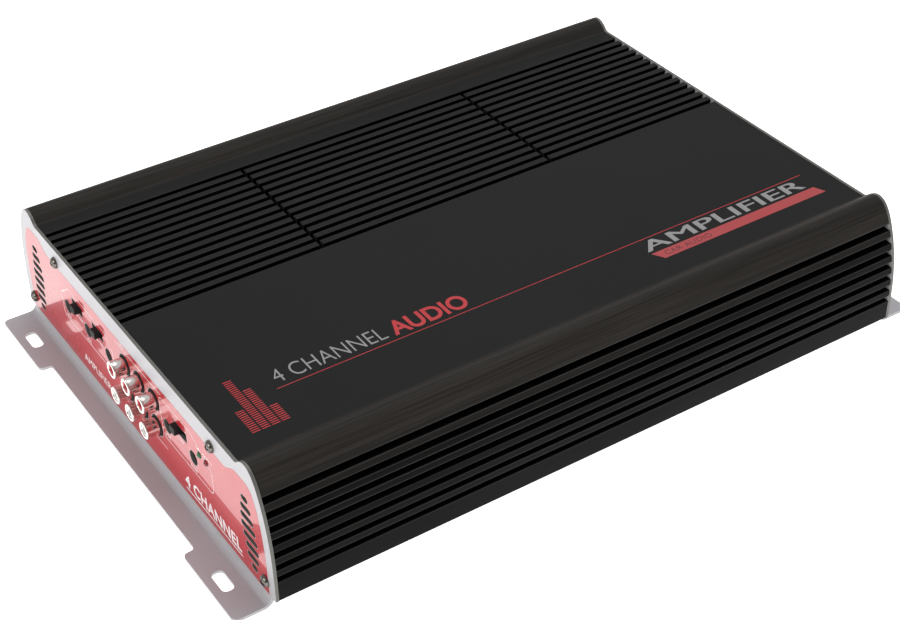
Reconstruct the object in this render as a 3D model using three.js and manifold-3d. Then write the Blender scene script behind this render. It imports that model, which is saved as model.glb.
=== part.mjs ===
// Four-channel car amplifier, in millimetres, +Z up.
// X runs along the heatsink: the input panel faces -X and the output panel faces +X.
// Y runs across it, with the printed front half of the top at -Y and the finned half at +Y.
// Heights inside the model are measured from the heatsink's underside; the whole model is then
// lifted so that the mounting ears rest on Z = 0, with X = Y = 0 at the middle.
import * as THREE from 'three';
import { mergeVertices } from 'three/addons/utils/BufferGeometryUtils.js';
import Module from 'manifold-3d';

const wasm = await Module();
wasm.setup();

// ---------------------------------------------------------------- driving dimensions

// Heatsink extrusion
const LENGTH = 330;
const WIDTH = 248;
const TOP = 56.4; // flat top above the underside
const CREST_RISE = 4.6; // rounded shoulders above the flat top
const SIDE_STRAIGHT = 12.7; // vertical stretch at the foot of each side
const SIDE_PULL = 16.6; // how far below the shoulder the side's curve is pulled straight
const SHOULDER_INSET = 7;
const SHOULDER_DROP = 9.4; // shoulder below the crest
const CREST_INSET = 16.5;
const STEP_INSET = 23.7;
const STEP_RISE = 0.6;
const FLAT_INSET = 25.2; // where the flat top starts
const INNER_INSET = 13.5; // inner face of the side walls
const PLAIN_ROOF = 4; // roof thickness under the plain half
const FIN_ROOF = 4.4; // roof thickness under the top grooves
const CEILING_CHAMFER = 8;

// Cooling grooves
const SIDE_GROOVE = { first: 11.8, pitch: 6.19, width: 2.9, floor: 10 };
const TOP_GROOVE = { count: 14, pitch: 6.12, width: 2.8, depth: 4.2, lastInset: 34.9 };
const CROSS_GROOVE = { offset: 63.8, width: 1.8 };

// Sheet metal
const SHEET = 1.5; // end plates
const FOOT_DROP = 3.7; // upper face of the ears below the heatsink's underside
const BEND = 3.6; // radius of the bend, on its hollow side
const FLANGE_INSET = 3.9; // ends of the bent foot from the heatsink's sides
const STRIP_REACH = 13; // from the heatsink's end face to the edge between the ears
const EAR_REACH = 18.8;
const EAR_END_INSET = 49.5;
const EAR_ROUND = 3;
const STRIP_ROUND = 2;
const SLOT = { reach: 12, inset: 26.5, length: 13, width: 5.6 };
const COVER = 1.5; // bottom cover
const COVER_Z = 2;
const COVER_GROOVE_INSET = 10.5;

// Vent slots of an end plate: height, then the inset of the outer and the inner end
const VENT_HEIGHT = 3;
const VENT_ROWS = [
  [5.9, 14.4, 19.2],
  [10.8, 12.4, 22],
  [15.8, 11.8, 22.6],
  [20.85, 12.2, 23.8],
  [25.9, 12.9, 24.8],
  [30.95, 14, 24.6],
  [36, 15.2, 23.8],
  [41.05, 16.9, 22.4],
];

// End plate screws
const SCREW = { shank: 1.5, head: 2.8, headHeight: 2.2, length: 10 };
const LOW_SCREW = { inset: 7.4, z: 6.6 };
const HIGH_SCREW = { inset: 46.6, drop: 7.4 }; // drop below the flat top
const PORT_WALL = 2.4; // metal round an upper screw port

// Circuit boards
const BOARD = 1.6;
const BOARD_Z = 8.1; // underside of the main board
const BOARD_GROOVE_INSET = 11;
const BOARD_END = 3; // main board from each end of the heatsink
const PANEL_BOARD = { back: 12, halfWidth: 78, headroom: 4.8 }; // headroom below the roof of the finned half

// Phono sockets
const PHONO = { y: -7.8, pitch: 14.3, z: [35.6, 21.3], reach: 8.3, radius: 4.15, wall: 0.9, lip: 0.5 };
const PHONO_COLLAR_WALL = 0.55;
const PHONO_COLLAR_PROUD = 0.5;
const PHONO_DEPTH = 8; // sleeve behind the heatsink's end plane
const PHONO_PIN = 1.65;
const PHONO_MARGIN = 7.1; // block edge from the outer socket axes

// Trimmers, slide switches and lamps on the input panel
const TRIMMER = { y: [69.7, 47.5, 25.2, -33.7, -58], z: 28.7, hole: 3.5, body: 6.8, depth: 5.7 };
const ROTOR = { radius: 2.6, front: -0.8, slotWidth: 0.8, slotDepth: 1 };
const SWITCH = { z: 35.3, width: 14, height: 5.8, depth: 9.2, cavity: 5, travel: 3.2 };
const SWITCHES = [
  { y: 57.5, position: 0 },
  { y: 35.4, position: 0 },
  { y: -47.4, position: 1 },
];
const SLIDER = { width: 4.4, height: 4, proud: 2.6 };
const SWITCH_WINDOW = { width: 11.2, height: 5 };
const LAMP = { y: [-64.6, -70.6], z: 35.1, radius: 1.5, flange: 1.9, flangeBack: 5, proud: 1.1, leg: 0.5 };

// Output panel
const NOSE_MARGIN = 1; // a block behind the plate is this much larger than its nose
const POWER = { y: -60, ways: 3, pitch: 14, wall: 2, z: [10, 34], back: 20, proud: 11, wire: 9.4, wireZ: 20 };
const POWER_SCREW = { radius: 3.5, length: 7, sunk: 1.5, reach: 6.5 };
const SPEAKER = { y: 44, ways: 8, pitch: 9.4, wall: 0, z: [10, 27], back: 16, proud: 11, wire: 5.6, wireZ: 17.5 };
const SPEAKER_WELL = 2.5;
const WIRE_BACK = 4.5; // wire chambers go this far behind the end plane
const FUSE = { y: -16, pitch: 11, z: 22.5, width: 5.2, height: 19.2, back: 1.2, front: 11.8 };
const BLADE = { width: 5.2, thickness: 0.8, length: 8, offset: 7 };
const FUSE_HOLDER = { halfWidth: 13.5, z: [10, 35], back: 18, proud: 3 };

// Inside
const CORE = { x: 72, y: -22, outer: 24, inner: 14, height: 16 };
const WINDING_WALL = 2;
const WINDING_GAP = 40; // degrees of bare core
const CAPACITORS = [{ x: -30, y: -62 }, { x: -3, y: -62 }];
const CAPACITOR = { radius: 11, height: 34 };
const INDUCTOR = { x: 100, y: 52, side: 24, height: 20, hole: 4 };
const CLAMP_BAR = { length: 200, thickness: 5, height: 10, z: 21, inset: 19, holes: [-80, 0, 80] };

// Clearances
const GAP = 0.3; // between pieces that face each other
const RUN = 0.2; // round a piece that slides or plugs into another
const SCREW_PLAY = 0.3; // hole radius over shank radius
const EDGE_PLAY = 0.3; // sheet or board edge to the floor of its groove

// ---------------------------------------------------------------- sizes that follow

const END = LENGTH / 2; // the heatsink's end planes are at X = -END and +END
const SIDE = WIDTH / 2;
const CREST = TOP + CREST_RISE;
const SHOULDER_Z = CREST - SHOULDER_DROP;
const FOOT = FOOT_DROP + SHEET; // underside of the ears below the heatsink
const BOARD_TOP = BOARD_Z + BOARD;
const HIGH_SCREW_Z = TOP - HIGH_SCREW.drop;
const PORT = SCREW.shank + SCREW_PLAY;
const FINNED_CEILING = TOP - TOP_GROOVE.depth - FIN_ROOF;
const PHONO_BORE = PHONO.radius - PHONO.wall;
const PHONO_LIP = PHONO_BORE - PHONO.lip; // the mouth is rolled inwards
const PHONO_COLLAR = PHONO.radius + RUN + PHONO_COLLAR_WALL;
const topGrooveY = (i) => SIDE - TOP_GROOVE.lastInset - (TOP_GROOVE.count - 1 - i) * TOP_GROOVE.pitch;
const CUT = 1; // cutters run past the surface they open
const WORD = ['one', 'two', 'three', 'four', 'five', 'six', 'seven', 'eight'];

// ---------------------------------------------------------------- solids

// A closed geometry as a solid that can be joined and cut; its faces may run either way round.
function solid(geometry) {
  const bare = new THREE.BufferGeometry();
  bare.setAttribute('position', geometry.getAttribute('position'));
  bare.setIndex(geometry.index);
  const merged = mergeVertices(bare, 1e-4);
  const vertProperties = merged.attributes.position.array;
  const triVerts = new Uint32Array(merged.index.array);
  const made = new wasm.Manifold(new wasm.Mesh({ numProp: 3, vertProperties, triVerts }));
  if (made.volume() > 0) return made;
  return new wasm.Manifold(new wasm.Mesh({ numProp: 3, vertProperties, triVerts: triVerts.reverse() }));
}

const X = new THREE.Vector3(1, 0, 0);
const Y = new THREE.Vector3(0, 1, 0);
const Z = new THREE.Vector3(0, 0, 1);
const frame = (x, y, z) => new THREE.Matrix4().makeBasis(x, y, z);
const flip = (v) => v.clone().negate();
const EXTRUDE_ALONG = { x: frame(Y, Z, X), y: frame(X, Z, flip(Y)), z: frame(X, Y, Z) };
const LATHE_ALONG = { '+x': frame(Y, X, flip(Z)), '-x': frame(Y, flip(X), Z), '+z': frame(X, Z, flip(Y)) };

// A shape drawn in (y, z), (x, z) or (x, y) and drawn out along the third axis from low to high.
function prism(axis, shape, low, high, curveSegments = 6) {
  const made = new THREE.ExtrudeGeometry(shape, { depth: high - low, bevelEnabled: false, curveSegments });
  made.translate(0, 0, axis === 'y' ? -high : low);
  return solid(made.applyMatrix4(EXTRUDE_ALONG[axis]));
}

function box(x, y, z) {
  const made = new THREE.BoxGeometry(x[1] - x[0], y[1] - y[0], z[1] - z[0]);
  return solid(made.translate((x[0] + x[1]) / 2, (y[0] + y[1]) / 2, (z[0] + z[1]) / 2));
}

const span = (middle, width) => [middle - width / 2, middle + width / 2];

function rod(axis, a, b, radius, low, high, curveSegments = 6) {
  const circle = new THREE.Shape().absarc(a, b, radius, 0, 2 * Math.PI);
  return prism(axis, circle, low, high, curveSegments);
}

// A profile of [radius, distance] pairs turned about an axis through (x, y, z).
function turned(direction, x, y, z, profile, segments) {
  const points = profile.map(([radius, distance]) => new THREE.Vector2(radius, distance));
  const made = new THREE.LatheGeometry(points, segments).applyMatrix4(LATHE_ALONG[direction]);
  return solid(made.translate(x, y, z));
}

// A closed shape through [a, b, radius] corners, each rounded by its radius.
function rounded(corners) {
  const at = (i) => new THREE.Vector2(...corners[(i + corners.length) % corners.length]);
  const shape = new THREE.Shape();
  corners.forEach(([a, b, radius = 0], i) => {
    const corner = new THREE.Vector2(a, b);
    const before = at(i - 1).sub(corner).setLength(radius).add(corner);
    const after = at(i + 1).sub(corner).setLength(radius).add(corner);
    if (i === 0) shape.moveTo(before.x, before.y);
    else shape.lineTo(before.x, before.y);
    if (radius > 0) shape.quadraticCurveTo(a, b, after.x, after.y);
  });
  return shape;
}

// A slot with round ends, from one end to the other along the first axis.
function slotShape(from, to, middle, width) {
  const r = width / 2;
  const shape = new THREE.Shape();
  shape.absarc(from + r, middle, r, Math.PI / 2, 1.5 * Math.PI);
  shape.absarc(to - r, middle, r, -Math.PI / 2, Math.PI / 2);
  return shape;
}

// ---------------------------------------------------------------- finishes

const finish = (color, roughness, metalness) =>
  new THREE.MeshStandardMaterial({ color, roughness, metalness });
const anodised = finish(0x2a2a2b, 0.45, 0.6);
const powderCoat = finish(0xdcdee0, 0.4, 0.1);
const darkNickel = finish(0x6f6d68, 0.3, 0.9);
const nickel = finish(0xe4e2da, 0.2, 1);
const steel = finish(0xb4b6b8, 0.35, 0.9);
const blackPlastic = finish(0x17171a, 0.5, 0);
const redPlastic = finish(0xb01c22, 0.4, 0);
const whitePlastic = finish(0xeeeae4, 0.4, 0);
const greenLens = finish(0x2f8f4a, 0.15, 0);
const redLens = finish(0x8f1f2c, 0.15, 0);
const fuseAmber = finish(0xd9812b, 0.25, 0);
const boardGreen = finish(0x1f5a3a, 0.5, 0);
const ferrite = finish(0x3a3b3d, 0.7, 0.1);
const copper = finish(0xb06a3a, 0.35, 0.9);
const capacitorBlue = finish(0x23305a, 0.35, 0.1);

const amplifier = new THREE.Group();
const lifted = new THREE.Group();
lifted.position.z = FOOT;
amplifier.add(lifted);

function add(name, body, material) {
  const { vertProperties, triVerts } = body.getMesh();
  const geometry = new THREE.BufferGeometry();
  geometry.setAttribute('position', new THREE.BufferAttribute(vertProperties, 3));
  geometry.setIndex(new THREE.BufferAttribute(triVerts, 1));
  const faces = geometry.toNonIndexed();
  faces.computeVertexNormals();
  const mesh = new THREE.Mesh(faces, material);
  mesh.name = name;
  lifted.add(mesh);
}

// ---------------------------------------------------------------- heatsink

// One side of the extrusion from its bottom corner over the shoulder to the flat top,
// as points of (inset from the side, height).
function sidePoints() {
  const lean = SHOULDER_INSET / SIDE_PULL;
  const crestStart = SHOULDER_INSET + SHOULDER_DROP * lean;
  const side = new THREE.Path();
  side.moveTo(0, 0);
  side.lineTo(0, SIDE_STRAIGHT);
  side.quadraticCurveTo(0, SHOULDER_Z - SIDE_PULL, SHOULDER_INSET, SHOULDER_Z);
  side.quadraticCurveTo(crestStart, CREST, CREST_INSET, CREST);
  side.quadraticCurveTo((CREST_INSET + STEP_INSET) / 2, CREST, STEP_INSET, TOP + STEP_RISE);
  side.lineTo(FLAT_INSET, TOP);
  return side.getPoints(6);
}

// The outline of heatsink and end plates in (y, z), with its lower edge at the given height.
function outline(bottom) {
  const kept = sidePoints().map((p) => new THREE.Vector2(p.x, Math.max(p.y, bottom)));
  const front = kept.map((p) => new THREE.Vector2(p.x - SIDE, p.y));
  const rear = kept.map((p) => new THREE.Vector2(SIDE - p.x, p.y)).reverse();
  return new THREE.Shape([...front, ...rear]);
}

function cavity() {
  const wall = SIDE - INNER_INSET;
  const plain = TOP - PLAIN_ROOF;
  const finned = FINNED_CEILING;
  const step = topGrooveY(0) - TOP_GROOVE.width / 2 - FIN_ROOF;
  const corners = [
    [-wall, -CUT], [-wall, plain - CEILING_CHAMFER], [CEILING_CHAMFER - wall, plain],
    [step, plain], [step, finned], [wall - CEILING_CHAMFER, finned],
    [wall, finned - CEILING_CHAMFER], [wall, -CUT],
  ];
  return prism('x', rounded(corners), -END - CUT, END + CUT);
}

// Screw ports run the whole length of the extrusion.
const SCREW_AXES = [-1, 1].flatMap((s) => [
  { y: s * (SIDE - LOW_SCREW.inset), z: LOW_SCREW.z },
  { y: s * (SIDE - HIGH_SCREW.inset), z: HIGH_SCREW_Z },
]);

function heatsink() {
  const wide = [-END - CUT, END + CUT];
  let body = prism('x', outline(0), -END, END).subtract(cavity());
  for (const s of [-1, 1]) {
    const y = s * (SIDE - HIGH_SCREW.inset);
    const boss = PORT + PORT_WALL;
    body = body.add(box([-END, END], span(y, 2 * boss), [HIGH_SCREW_Z, TOP - TOP_GROOVE.depth - CUT]));
    body = body.add(rod('x', y, HIGH_SCREW_Z, boss, -END, END));
  }
  for (const s of [-1, 1]) {
    const sideCut = (inset, z0, z1) => {
      const ys = [s * (SIDE - inset), s * (SIDE + CUT)].sort((a, b) => a - b);
      return box(wide, ys, [z0, z1]);
    };
    for (let z = SIDE_GROOVE.first; z < SHOULDER_Z - SIDE_GROOVE.width / 2; z += SIDE_GROOVE.pitch)
      body = body.subtract(sideCut(SIDE_GROOVE.floor, ...span(z, SIDE_GROOVE.width)));
    const innerCut = (inset, z0, z1) => {
      const ys = [s * (SIDE - inset), s * (SIDE - INNER_INSET - CUT)].sort((a, b) => a - b);
      return box(wide, ys, [z0, z1]);
    };
    body = body.subtract(innerCut(COVER_GROOVE_INSET, COVER_Z - RUN, COVER_Z + COVER + RUN));
    body = body.subtract(innerCut(BOARD_GROOVE_INSET, BOARD_Z - RUN, BOARD_TOP + RUN));
  }
  const grooveZ = [TOP - TOP_GROOVE.depth, TOP + CUT];
  for (let i = 0; i < TOP_GROOVE.count; i++)
    body = body.subtract(box(wide, span(topGrooveY(i), TOP_GROOVE.width), grooveZ));
  const crossed = [topGrooveY(0), topGrooveY(TOP_GROOVE.count - 1)];
  for (const s of [-1, 1])
    body = body.subtract(box(span(s * CROSS_GROOVE.offset, CROSS_GROOVE.width), crossed, grooveZ));
  for (const { y, z } of SCREW_AXES) body = body.subtract(rod('x', y, z, PORT, ...wide));
  return body;
}

// ---------------------------------------------------------------- sheet metal

// An end plate: the flat face, and a foot bent outwards into two slotted ears.
// `side` is -1 for the input end and 1 for the output end; reaches are measured outwards.
function endPlate(side, openings) {
  const out = (reach) => side * (END + reach);
  const ordered = (a, b) => [Math.min(a, b), Math.max(a, b)];
  const bendTop = BEND - FOOT_DROP;
  const bendReach = SHEET + BEND;
  const face = prism('x', outline(bendTop), ...ordered(out(0), out(SHEET)));

  const fold = new THREE.Shape();
  const quarter = Math.PI / 2;
  const arc = (radius, from, to) => {
    for (let i = 0; i <= 6; i++) {
      const angle = from + ((to - from) * i) / 6;
      const point = [out(bendReach + radius * Math.cos(angle)), bendTop + radius * Math.sin(angle)];
      fold.lineTo(...point);
    }
  };
  fold.moveTo(out(0), bendTop + SHEET);
  arc(BEND + SHEET, 2 * quarter, 3 * quarter);
  fold.lineTo(out(EAR_REACH + CUT), -FOOT);
  fold.lineTo(out(EAR_REACH + CUT), -FOOT_DROP);
  arc(BEND, 3 * quarter, 2 * quarter);
  fold.lineTo(out(SHEET), bendTop + SHEET);
  const end = SIDE - FLANGE_INSET;
  const foot = prism('y', fold, -end, end);

  const ear = SIDE - EAR_END_INSET;
  const plan = rounded([
    [out(-CUT), -end], [out(EAR_REACH), -end, EAR_ROUND], [out(EAR_REACH), -ear, EAR_ROUND],
    [out(STRIP_REACH), -ear, STRIP_ROUND], [out(STRIP_REACH), ear, STRIP_ROUND],
    [out(EAR_REACH), ear, EAR_ROUND], [out(EAR_REACH), end, EAR_ROUND], [out(-CUT), end],
  ]);
  let body = face.add(foot.intersect(prism('z', plan, -FOOT - CUT, bendTop + SHEET + CUT)));

  const through = ordered(out(-CUT), out(SHEET + CUT));
  for (const s of [-1, 1]) {
    const y = s * (SIDE - SLOT.inset);
    const long = rounded([
      [out(SLOT.reach) - SLOT.width / 2, y - SLOT.length / 2, SLOT.width / 2.2],
      [out(SLOT.reach) + SLOT.width / 2, y - SLOT.length / 2, SLOT.width / 2.2],
      [out(SLOT.reach) + SLOT.width / 2, y + SLOT.length / 2, SLOT.width / 2.2],
      [out(SLOT.reach) - SLOT.width / 2, y + SLOT.length / 2, SLOT.width / 2.2],
    ]);
    body = body.subtract(prism('z', long, -FOOT - CUT, CUT, 3));
    for (const [z, outer, inner] of VENT_ROWS) {
      const ys = ordered(s * (SIDE - outer), s * (SIDE - inner));
      body = body.subtract(prism('x', slotShape(...ys, z, VENT_HEIGHT), ...through, 3));
    }
  }
  for (const { y, z } of SCREW_AXES) body = body.subtract(rod('x', y, z, PORT, ...through));
  for (const opening of openings) body = body.subtract(opening(through));
  return body;
}

function inputOpenings() {
  const hole = (y, z, radius, segments) => (through) => rod('x', y, z, radius, ...through, segments);
  const made = phonoAxes().map(({ y, z }) => hole(y, z, PHONO_COLLAR + GAP, 8));
  made.push(...TRIMMER.y.map((y) => hole(y, TRIMMER.z, TRIMMER.hole, 8)));
  made.push(...LAMP.y.map((y) => hole(y, LAMP.z, LAMP.radius + RUN, 5)));
  for (const { y } of SWITCHES) {
    const window = [span(y, SWITCH_WINDOW.width), span(SWITCH.z, SWITCH_WINDOW.height)];
    made.push((through) => box(through, ...window));
  }
  return made;
}

// Cut-outs for the noses of the three blocks on the output panel.
function outputOpenings() {
  return [noseOf(POWER), noseOf(SPEAKER), noseOf(fuseHolderBlock())].map(({ y, z }) => (through) =>
    box(through, [y[0] - GAP, y[1] + GAP], [z[0] - GAP, z[1] + GAP]));
}

function bottomCover() {
  const half = SIDE - COVER_GROOVE_INSET - EDGE_PLAY;
  return box([GAP - END, END - GAP], [-half, half], [COVER_Z, COVER_Z + COVER]);
}

// A pan-head screw with a cross recess, its head on the outside of an end plate.
function endScrew(side, y, z) {
  const { shank, head, headHeight, length } = SCREW;
  const profile = [
    [0, -length], [shank, -length], [shank, 0], [head, 0], [head, 0.35 * headHeight],
    [0.8 * head, 0.8 * headHeight], [0.35 * head, headHeight], [0, headHeight],
  ];
  const face = END + SHEET;
  const screw = turned(side > 0 ? '+x' : '-x', side * face, y, z, profile, 10);
  const recess = [side * (face + 0.45 * headHeight), side * (face + headHeight + CUT)].sort((a, b) => a - b);
  const bar = 0.26 * head;
  const reach = 1.1 * head;
  return screw.subtract(box(recess, span(y, bar), span(z, reach)).add(box(recess, span(y, reach), span(z, bar))));
}

// ---------------------------------------------------------------- input panel

const inward = (depth) => depth - END; // X of a point this deep behind the input end plane

function phonoAxes() {
  return PHONO.z.flatMap((z, row) =>
    [1, 0, -1].map((step, column) => ({ y: PHONO.y + step * PHONO.pitch, z, row, column })));
}

function phonoBlock() {
  const back = PANEL_BOARD.back - GAP;
  const across = span(PHONO.y, 2 * (PHONO.pitch + PHONO_MARGIN));
  const top = PHONO.z[0] + PHONO_MARGIN;
  let body = box([inward(GAP), inward(back)], across, [BOARD_TOP + GAP, top]);
  for (const { y, z } of phonoAxes())
    body = body.add(rod('x', y, z, PHONO_COLLAR, inward(-SHEET - PHONO_COLLAR_PROUD), inward(2 * GAP), 8));
  for (const { y, z } of phonoAxes())
    body = body.subtract(rod('x', y, z, PHONO.radius + RUN, inward(-SHEET - CUT - PHONO_COLLAR_PROUD),
      inward(PHONO_DEPTH + GAP), 8));
  return body;
}

function phonoSleeve(y, z) {
  const { reach, radius } = PHONO;
  const [bore, lip] = [PHONO_BORE, PHONO_LIP];
  const profile = [
    [bore, -PHONO_DEPTH], [radius, -PHONO_DEPTH], [radius, reach - 0.5], [radius - 0.5, reach],
    [lip + 0.4, reach], [lip, reach - 0.4], [lip, reach - 1], [bore, reach - 1.4], [bore, -PHONO_DEPTH],
  ];
  return turned('-x', -END, y, z, profile, 16);
}

function phonoInsulator(y, z) {
  const { reach } = PHONO;
  const [outer, neck] = [PHONO_BORE - RUN, PHONO_LIP - RUN];
  const tail = PHONO_DEPTH - GAP;
  const profile = [
    [0, -tail], [outer, -tail], [outer, reach - 1.8], [neck, reach - 1.6],
    [neck, reach - 0.6], [PHONO_PIN, reach - 0.6], [PHONO_PIN, reach - 9], [0, reach - 9],
  ];
  return turned('-x', -END, y, z, profile, 12);
}

function trimmerBody(y) {
  const back = PANEL_BOARD.back - GAP;
  const front = back - TRIMMER.depth;
  const body = box([inward(front), inward(back)], span(y, TRIMMER.body), span(TRIMMER.z, TRIMMER.body));
  const bore = ROTOR.radius + GAP;
  return body.subtract(rod('x', y, TRIMMER.z, bore, inward(front - CUT), inward(back - CUT), 7));
}

function trimmerRotor(y) {
  const front = inward(-ROTOR.front);
  const back = inward(PANEL_BOARD.back - GAP - CUT - GAP);
  const slot = box([front - CUT, front + ROTOR.slotDepth], span(y, ROTOR.slotWidth),
    span(TRIMMER.z, 3 * ROTOR.radius));
  return rod('x', y, TRIMMER.z, ROTOR.radius, front, back, 7).subtract(slot);
}

function switchHousing(y) {
  const back = PANEL_BOARD.back - GAP;
  const front = back - SWITCH.depth;
  const body = box([inward(front), inward(back)], span(y, SWITCH.width), span(SWITCH.z, SWITCH.height));
  const width = SLIDER.width + 2 * (SWITCH.travel + GAP);
  return body.subtract(box([inward(front - CUT), inward(front + SWITCH.cavity)],
    span(y, width), span(SWITCH.z, SLIDER.height + 2 * GAP)));
}

function switchSlider(y, position) {
  const front = PANEL_BOARD.back - GAP - SWITCH.depth;
  const middle = y + position * SWITCH.travel;
  const edge = 0.5;
  return prism('x', rounded([
    [middle - SLIDER.width / 2, SWITCH.z - SLIDER.height / 2, edge],
    [middle + SLIDER.width / 2, SWITCH.z - SLIDER.height / 2, edge],
    [middle + SLIDER.width / 2, SWITCH.z + SLIDER.height / 2, edge],
    [middle - SLIDER.width / 2, SWITCH.z + SLIDER.height / 2, edge],
  ]), inward(-SHEET - SLIDER.proud), inward(front + SWITCH.cavity - GAP), 2);
}

// A 3 mm lamp on two legs that stand on the panel board.
function lamp(y) {
  const { radius, flange, flangeBack, proud, leg } = LAMP;
  const tip = SHEET + proud;
  const profile = [
    [0, -flangeBack], [flange, -flangeBack], [flange, 1 - flangeBack], [radius, 1 - flangeBack],
    [radius, tip - radius], [0.87 * radius, tip - 0.5 * radius], [0.5 * radius, tip - 0.13 * radius], [0, tip],
  ];
  let body = turned('-x', -END, y, LAMP.z, profile, 12);
  for (const s of [-1, 1])
    body = body.add(box([inward(flangeBack - leg), inward(PANEL_BOARD.back - GAP)],
      span(y + s * 2 * leg, leg), span(LAMP.z, leg)));
  return body;
}

// ---------------------------------------------------------------- output panel

const blockWidth = ({ ways, pitch, wall }) => ways * pitch + 2 * wall;

// The part of a block that passes through the output plate.
function noseOf(block) {
  const half = (block.width ?? blockWidth(block)) / 2;
  return { y: [block.y - half, block.y + half], z: [block.z[0] + NOSE_MARGIN, block.z[1] - NOSE_MARGIN] };
}

function panelBlock(block) {
  const nose = noseOf(block);
  const behind = box([END - block.back, END - GAP], [nose.y[0] - NOSE_MARGIN, nose.y[1] + NOSE_MARGIN],
    [Math.max(block.z[0], BOARD_TOP + GAP), block.z[1]]);
  return behind.add(box([END - 2 * GAP, END + SHEET + block.proud], nose.y, nose.z));
}

const wayY = (block, i) => block.y + (i - (block.ways - 1) / 2) * block.pitch;

// A terminal block with a wire chamber and a screw well for each way.
function terminalBlock(block, wellRadius) {
  let body = panelBlock(block);
  const mouth = END + SHEET + block.proud + CUT;
  for (let i = 0; i < block.ways; i++) {
    const y = wayY(block, i);
    const top = block.z[1] + CUT;
    body = body.subtract(box([END - WIRE_BACK, mouth], span(y, block.wire), span(block.wireZ, block.wire)));
    body = body.subtract(rod('z', END + SHEET + POWER_SCREW.reach, y, wellRadius, block.wireZ, top, 5));
  }
  return body;
}

function powerScrew(i) {
  const { radius, length, sunk, reach } = POWER_SCREW;
  const top = noseOf(POWER).z[1] - sunk;
  const x = END + SHEET + reach;
  const y = wayY(POWER, i);
  const slot = box(span(x, 3 * radius), span(y, 1.1), [top - 1.6, top + CUT]);
  return rod('z', x, y, radius, top - length, top, 6).subtract(slot);
}

function fuseHolderBlock() {
  const { halfWidth, z, back, proud } = FUSE_HOLDER;
  return { y: FUSE.y, width: 2 * halfWidth, z, back, proud };
}

const fuseY = (s) => FUSE.y + (s * FUSE.pitch) / 2;

function fuseHolder() {
  let body = panelBlock(fuseHolderBlock());
  const mouth = END + SHEET + FUSE_HOLDER.proud + CUT;
  for (const s of [-1, 1]) {
    const pocket = box([END - FUSE.back - GAP, mouth], span(fuseY(s), FUSE.width + 2 * GAP),
      span(FUSE.z, FUSE.height + 2 * GAP));
    body = body.subtract(pocket);
    for (const t of [-1, 1])
      body = body.subtract(box([END - FUSE.back - BLADE.length - GAP, mouth],
        span(fuseY(s), BLADE.thickness + 2 * GAP), span(FUSE.z + t * BLADE.offset, BLADE.width + 2 * GAP)));
  }
  return body;
}

function bladeFuse(s) {
  const waist = 0.3 * FUSE.height;
  const cap = [END + 0.55 * FUSE.front, END + FUSE.front];
  let body = box([END - FUSE.back, cap[0]], span(fuseY(s), FUSE.width), span(FUSE.z, FUSE.height));
  body = body.add(box([cap[0] - CUT, cap[1]], span(fuseY(s), FUSE.width - 1), span(FUSE.z, FUSE.height - 1)));
  body = body.subtract(box([cap[1] - 1, cap[1] + CUT], span(fuseY(s), 2 * FUSE.width), span(FUSE.z, waist)));
  for (const t of [-1, 1])
    body = body.add(box([END - FUSE.back - BLADE.length, END - FUSE.back + CUT],
      span(fuseY(s), BLADE.thickness), span(FUSE.z + t * BLADE.offset, BLADE.width)));
  return body;
}

// ---------------------------------------------------------------- inside

function mainBoard() {
  const half = SIDE - BOARD_GROOVE_INSET - EDGE_PLAY;
  return box([BOARD_END - END, END - BOARD_END], [-half, half], [BOARD_Z, BOARD_TOP]);
}

function panelBoard() {
  const { back, halfWidth, headroom } = PANEL_BOARD;
  const top = FINNED_CEILING - headroom;
  return box([inward(back), inward(back + BOARD)], [-halfWidth, halfWidth], [BOARD_TOP + GAP, top]);
}

const CORE_Z = BOARD_TOP + GAP + WINDING_WALL + GAP;

// A ring of the given growth over the core's section, turned about the core's upright axis.
function ring(grow, chamfer) {
  const [low, high] = [CORE_Z - grow, CORE_Z + CORE.height + grow];
  const [inner, outer] = [CORE.inner - grow, CORE.outer + grow];
  const profile = [
    [inner + chamfer, low], [outer - chamfer, low], [outer, low + chamfer], [outer, high - chamfer],
    [outer - chamfer, high], [inner + chamfer, high], [inner, high - chamfer], [inner, low + chamfer],
    [inner + chamfer, low],
  ];
  return turned('+z', CORE.x, CORE.y, 0, profile, 24);
}

function winding() {
  const shell = ring(GAP + WINDING_WALL, 2.5).subtract(ring(GAP, 1));
  const reach = 2 * CORE.outer;
  const half = THREE.MathUtils.degToRad(WINDING_GAP / 2);
  const wedge = new THREE.Shape();
  wedge.moveTo(CORE.x, CORE.y);
  wedge.lineTo(CORE.x + reach * Math.cos(half), CORE.y - reach * Math.sin(half));
  wedge.lineTo(CORE.x + reach * Math.cos(half), CORE.y + reach * Math.sin(half));
  return shell.subtract(prism('z', wedge, 0, TOP));
}

function capacitor({ x, y }) {
  const { radius, height } = CAPACITOR;
  const foot = BOARD_TOP + GAP;
  const profile = [
    [0, 0], [radius - 0.6, 0], [radius, 0.6], [radius, 3], [radius - 0.7, 4], [radius, 5],
    [radius, height - 0.6], [radius - 0.6, height], [0, height],
  ];
  return turned('+z', x, y, foot, profile, 16);
}

function inductor() {
  const { x, y, side, height, hole } = INDUCTOR;
  const half = side / 2;
  const base = rounded([
    [x - half, y - half, 3], [x + half, y - half, 3], [x + half, y + half, 3], [x - half, y + half, 3],
  ]);
  const foot = BOARD_TOP + GAP;
  const body = prism('z', base, foot, foot + height, 3);
  return body.subtract(rod('z', x, y, hole, foot + height / 2, foot + height + CUT));
}

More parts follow.
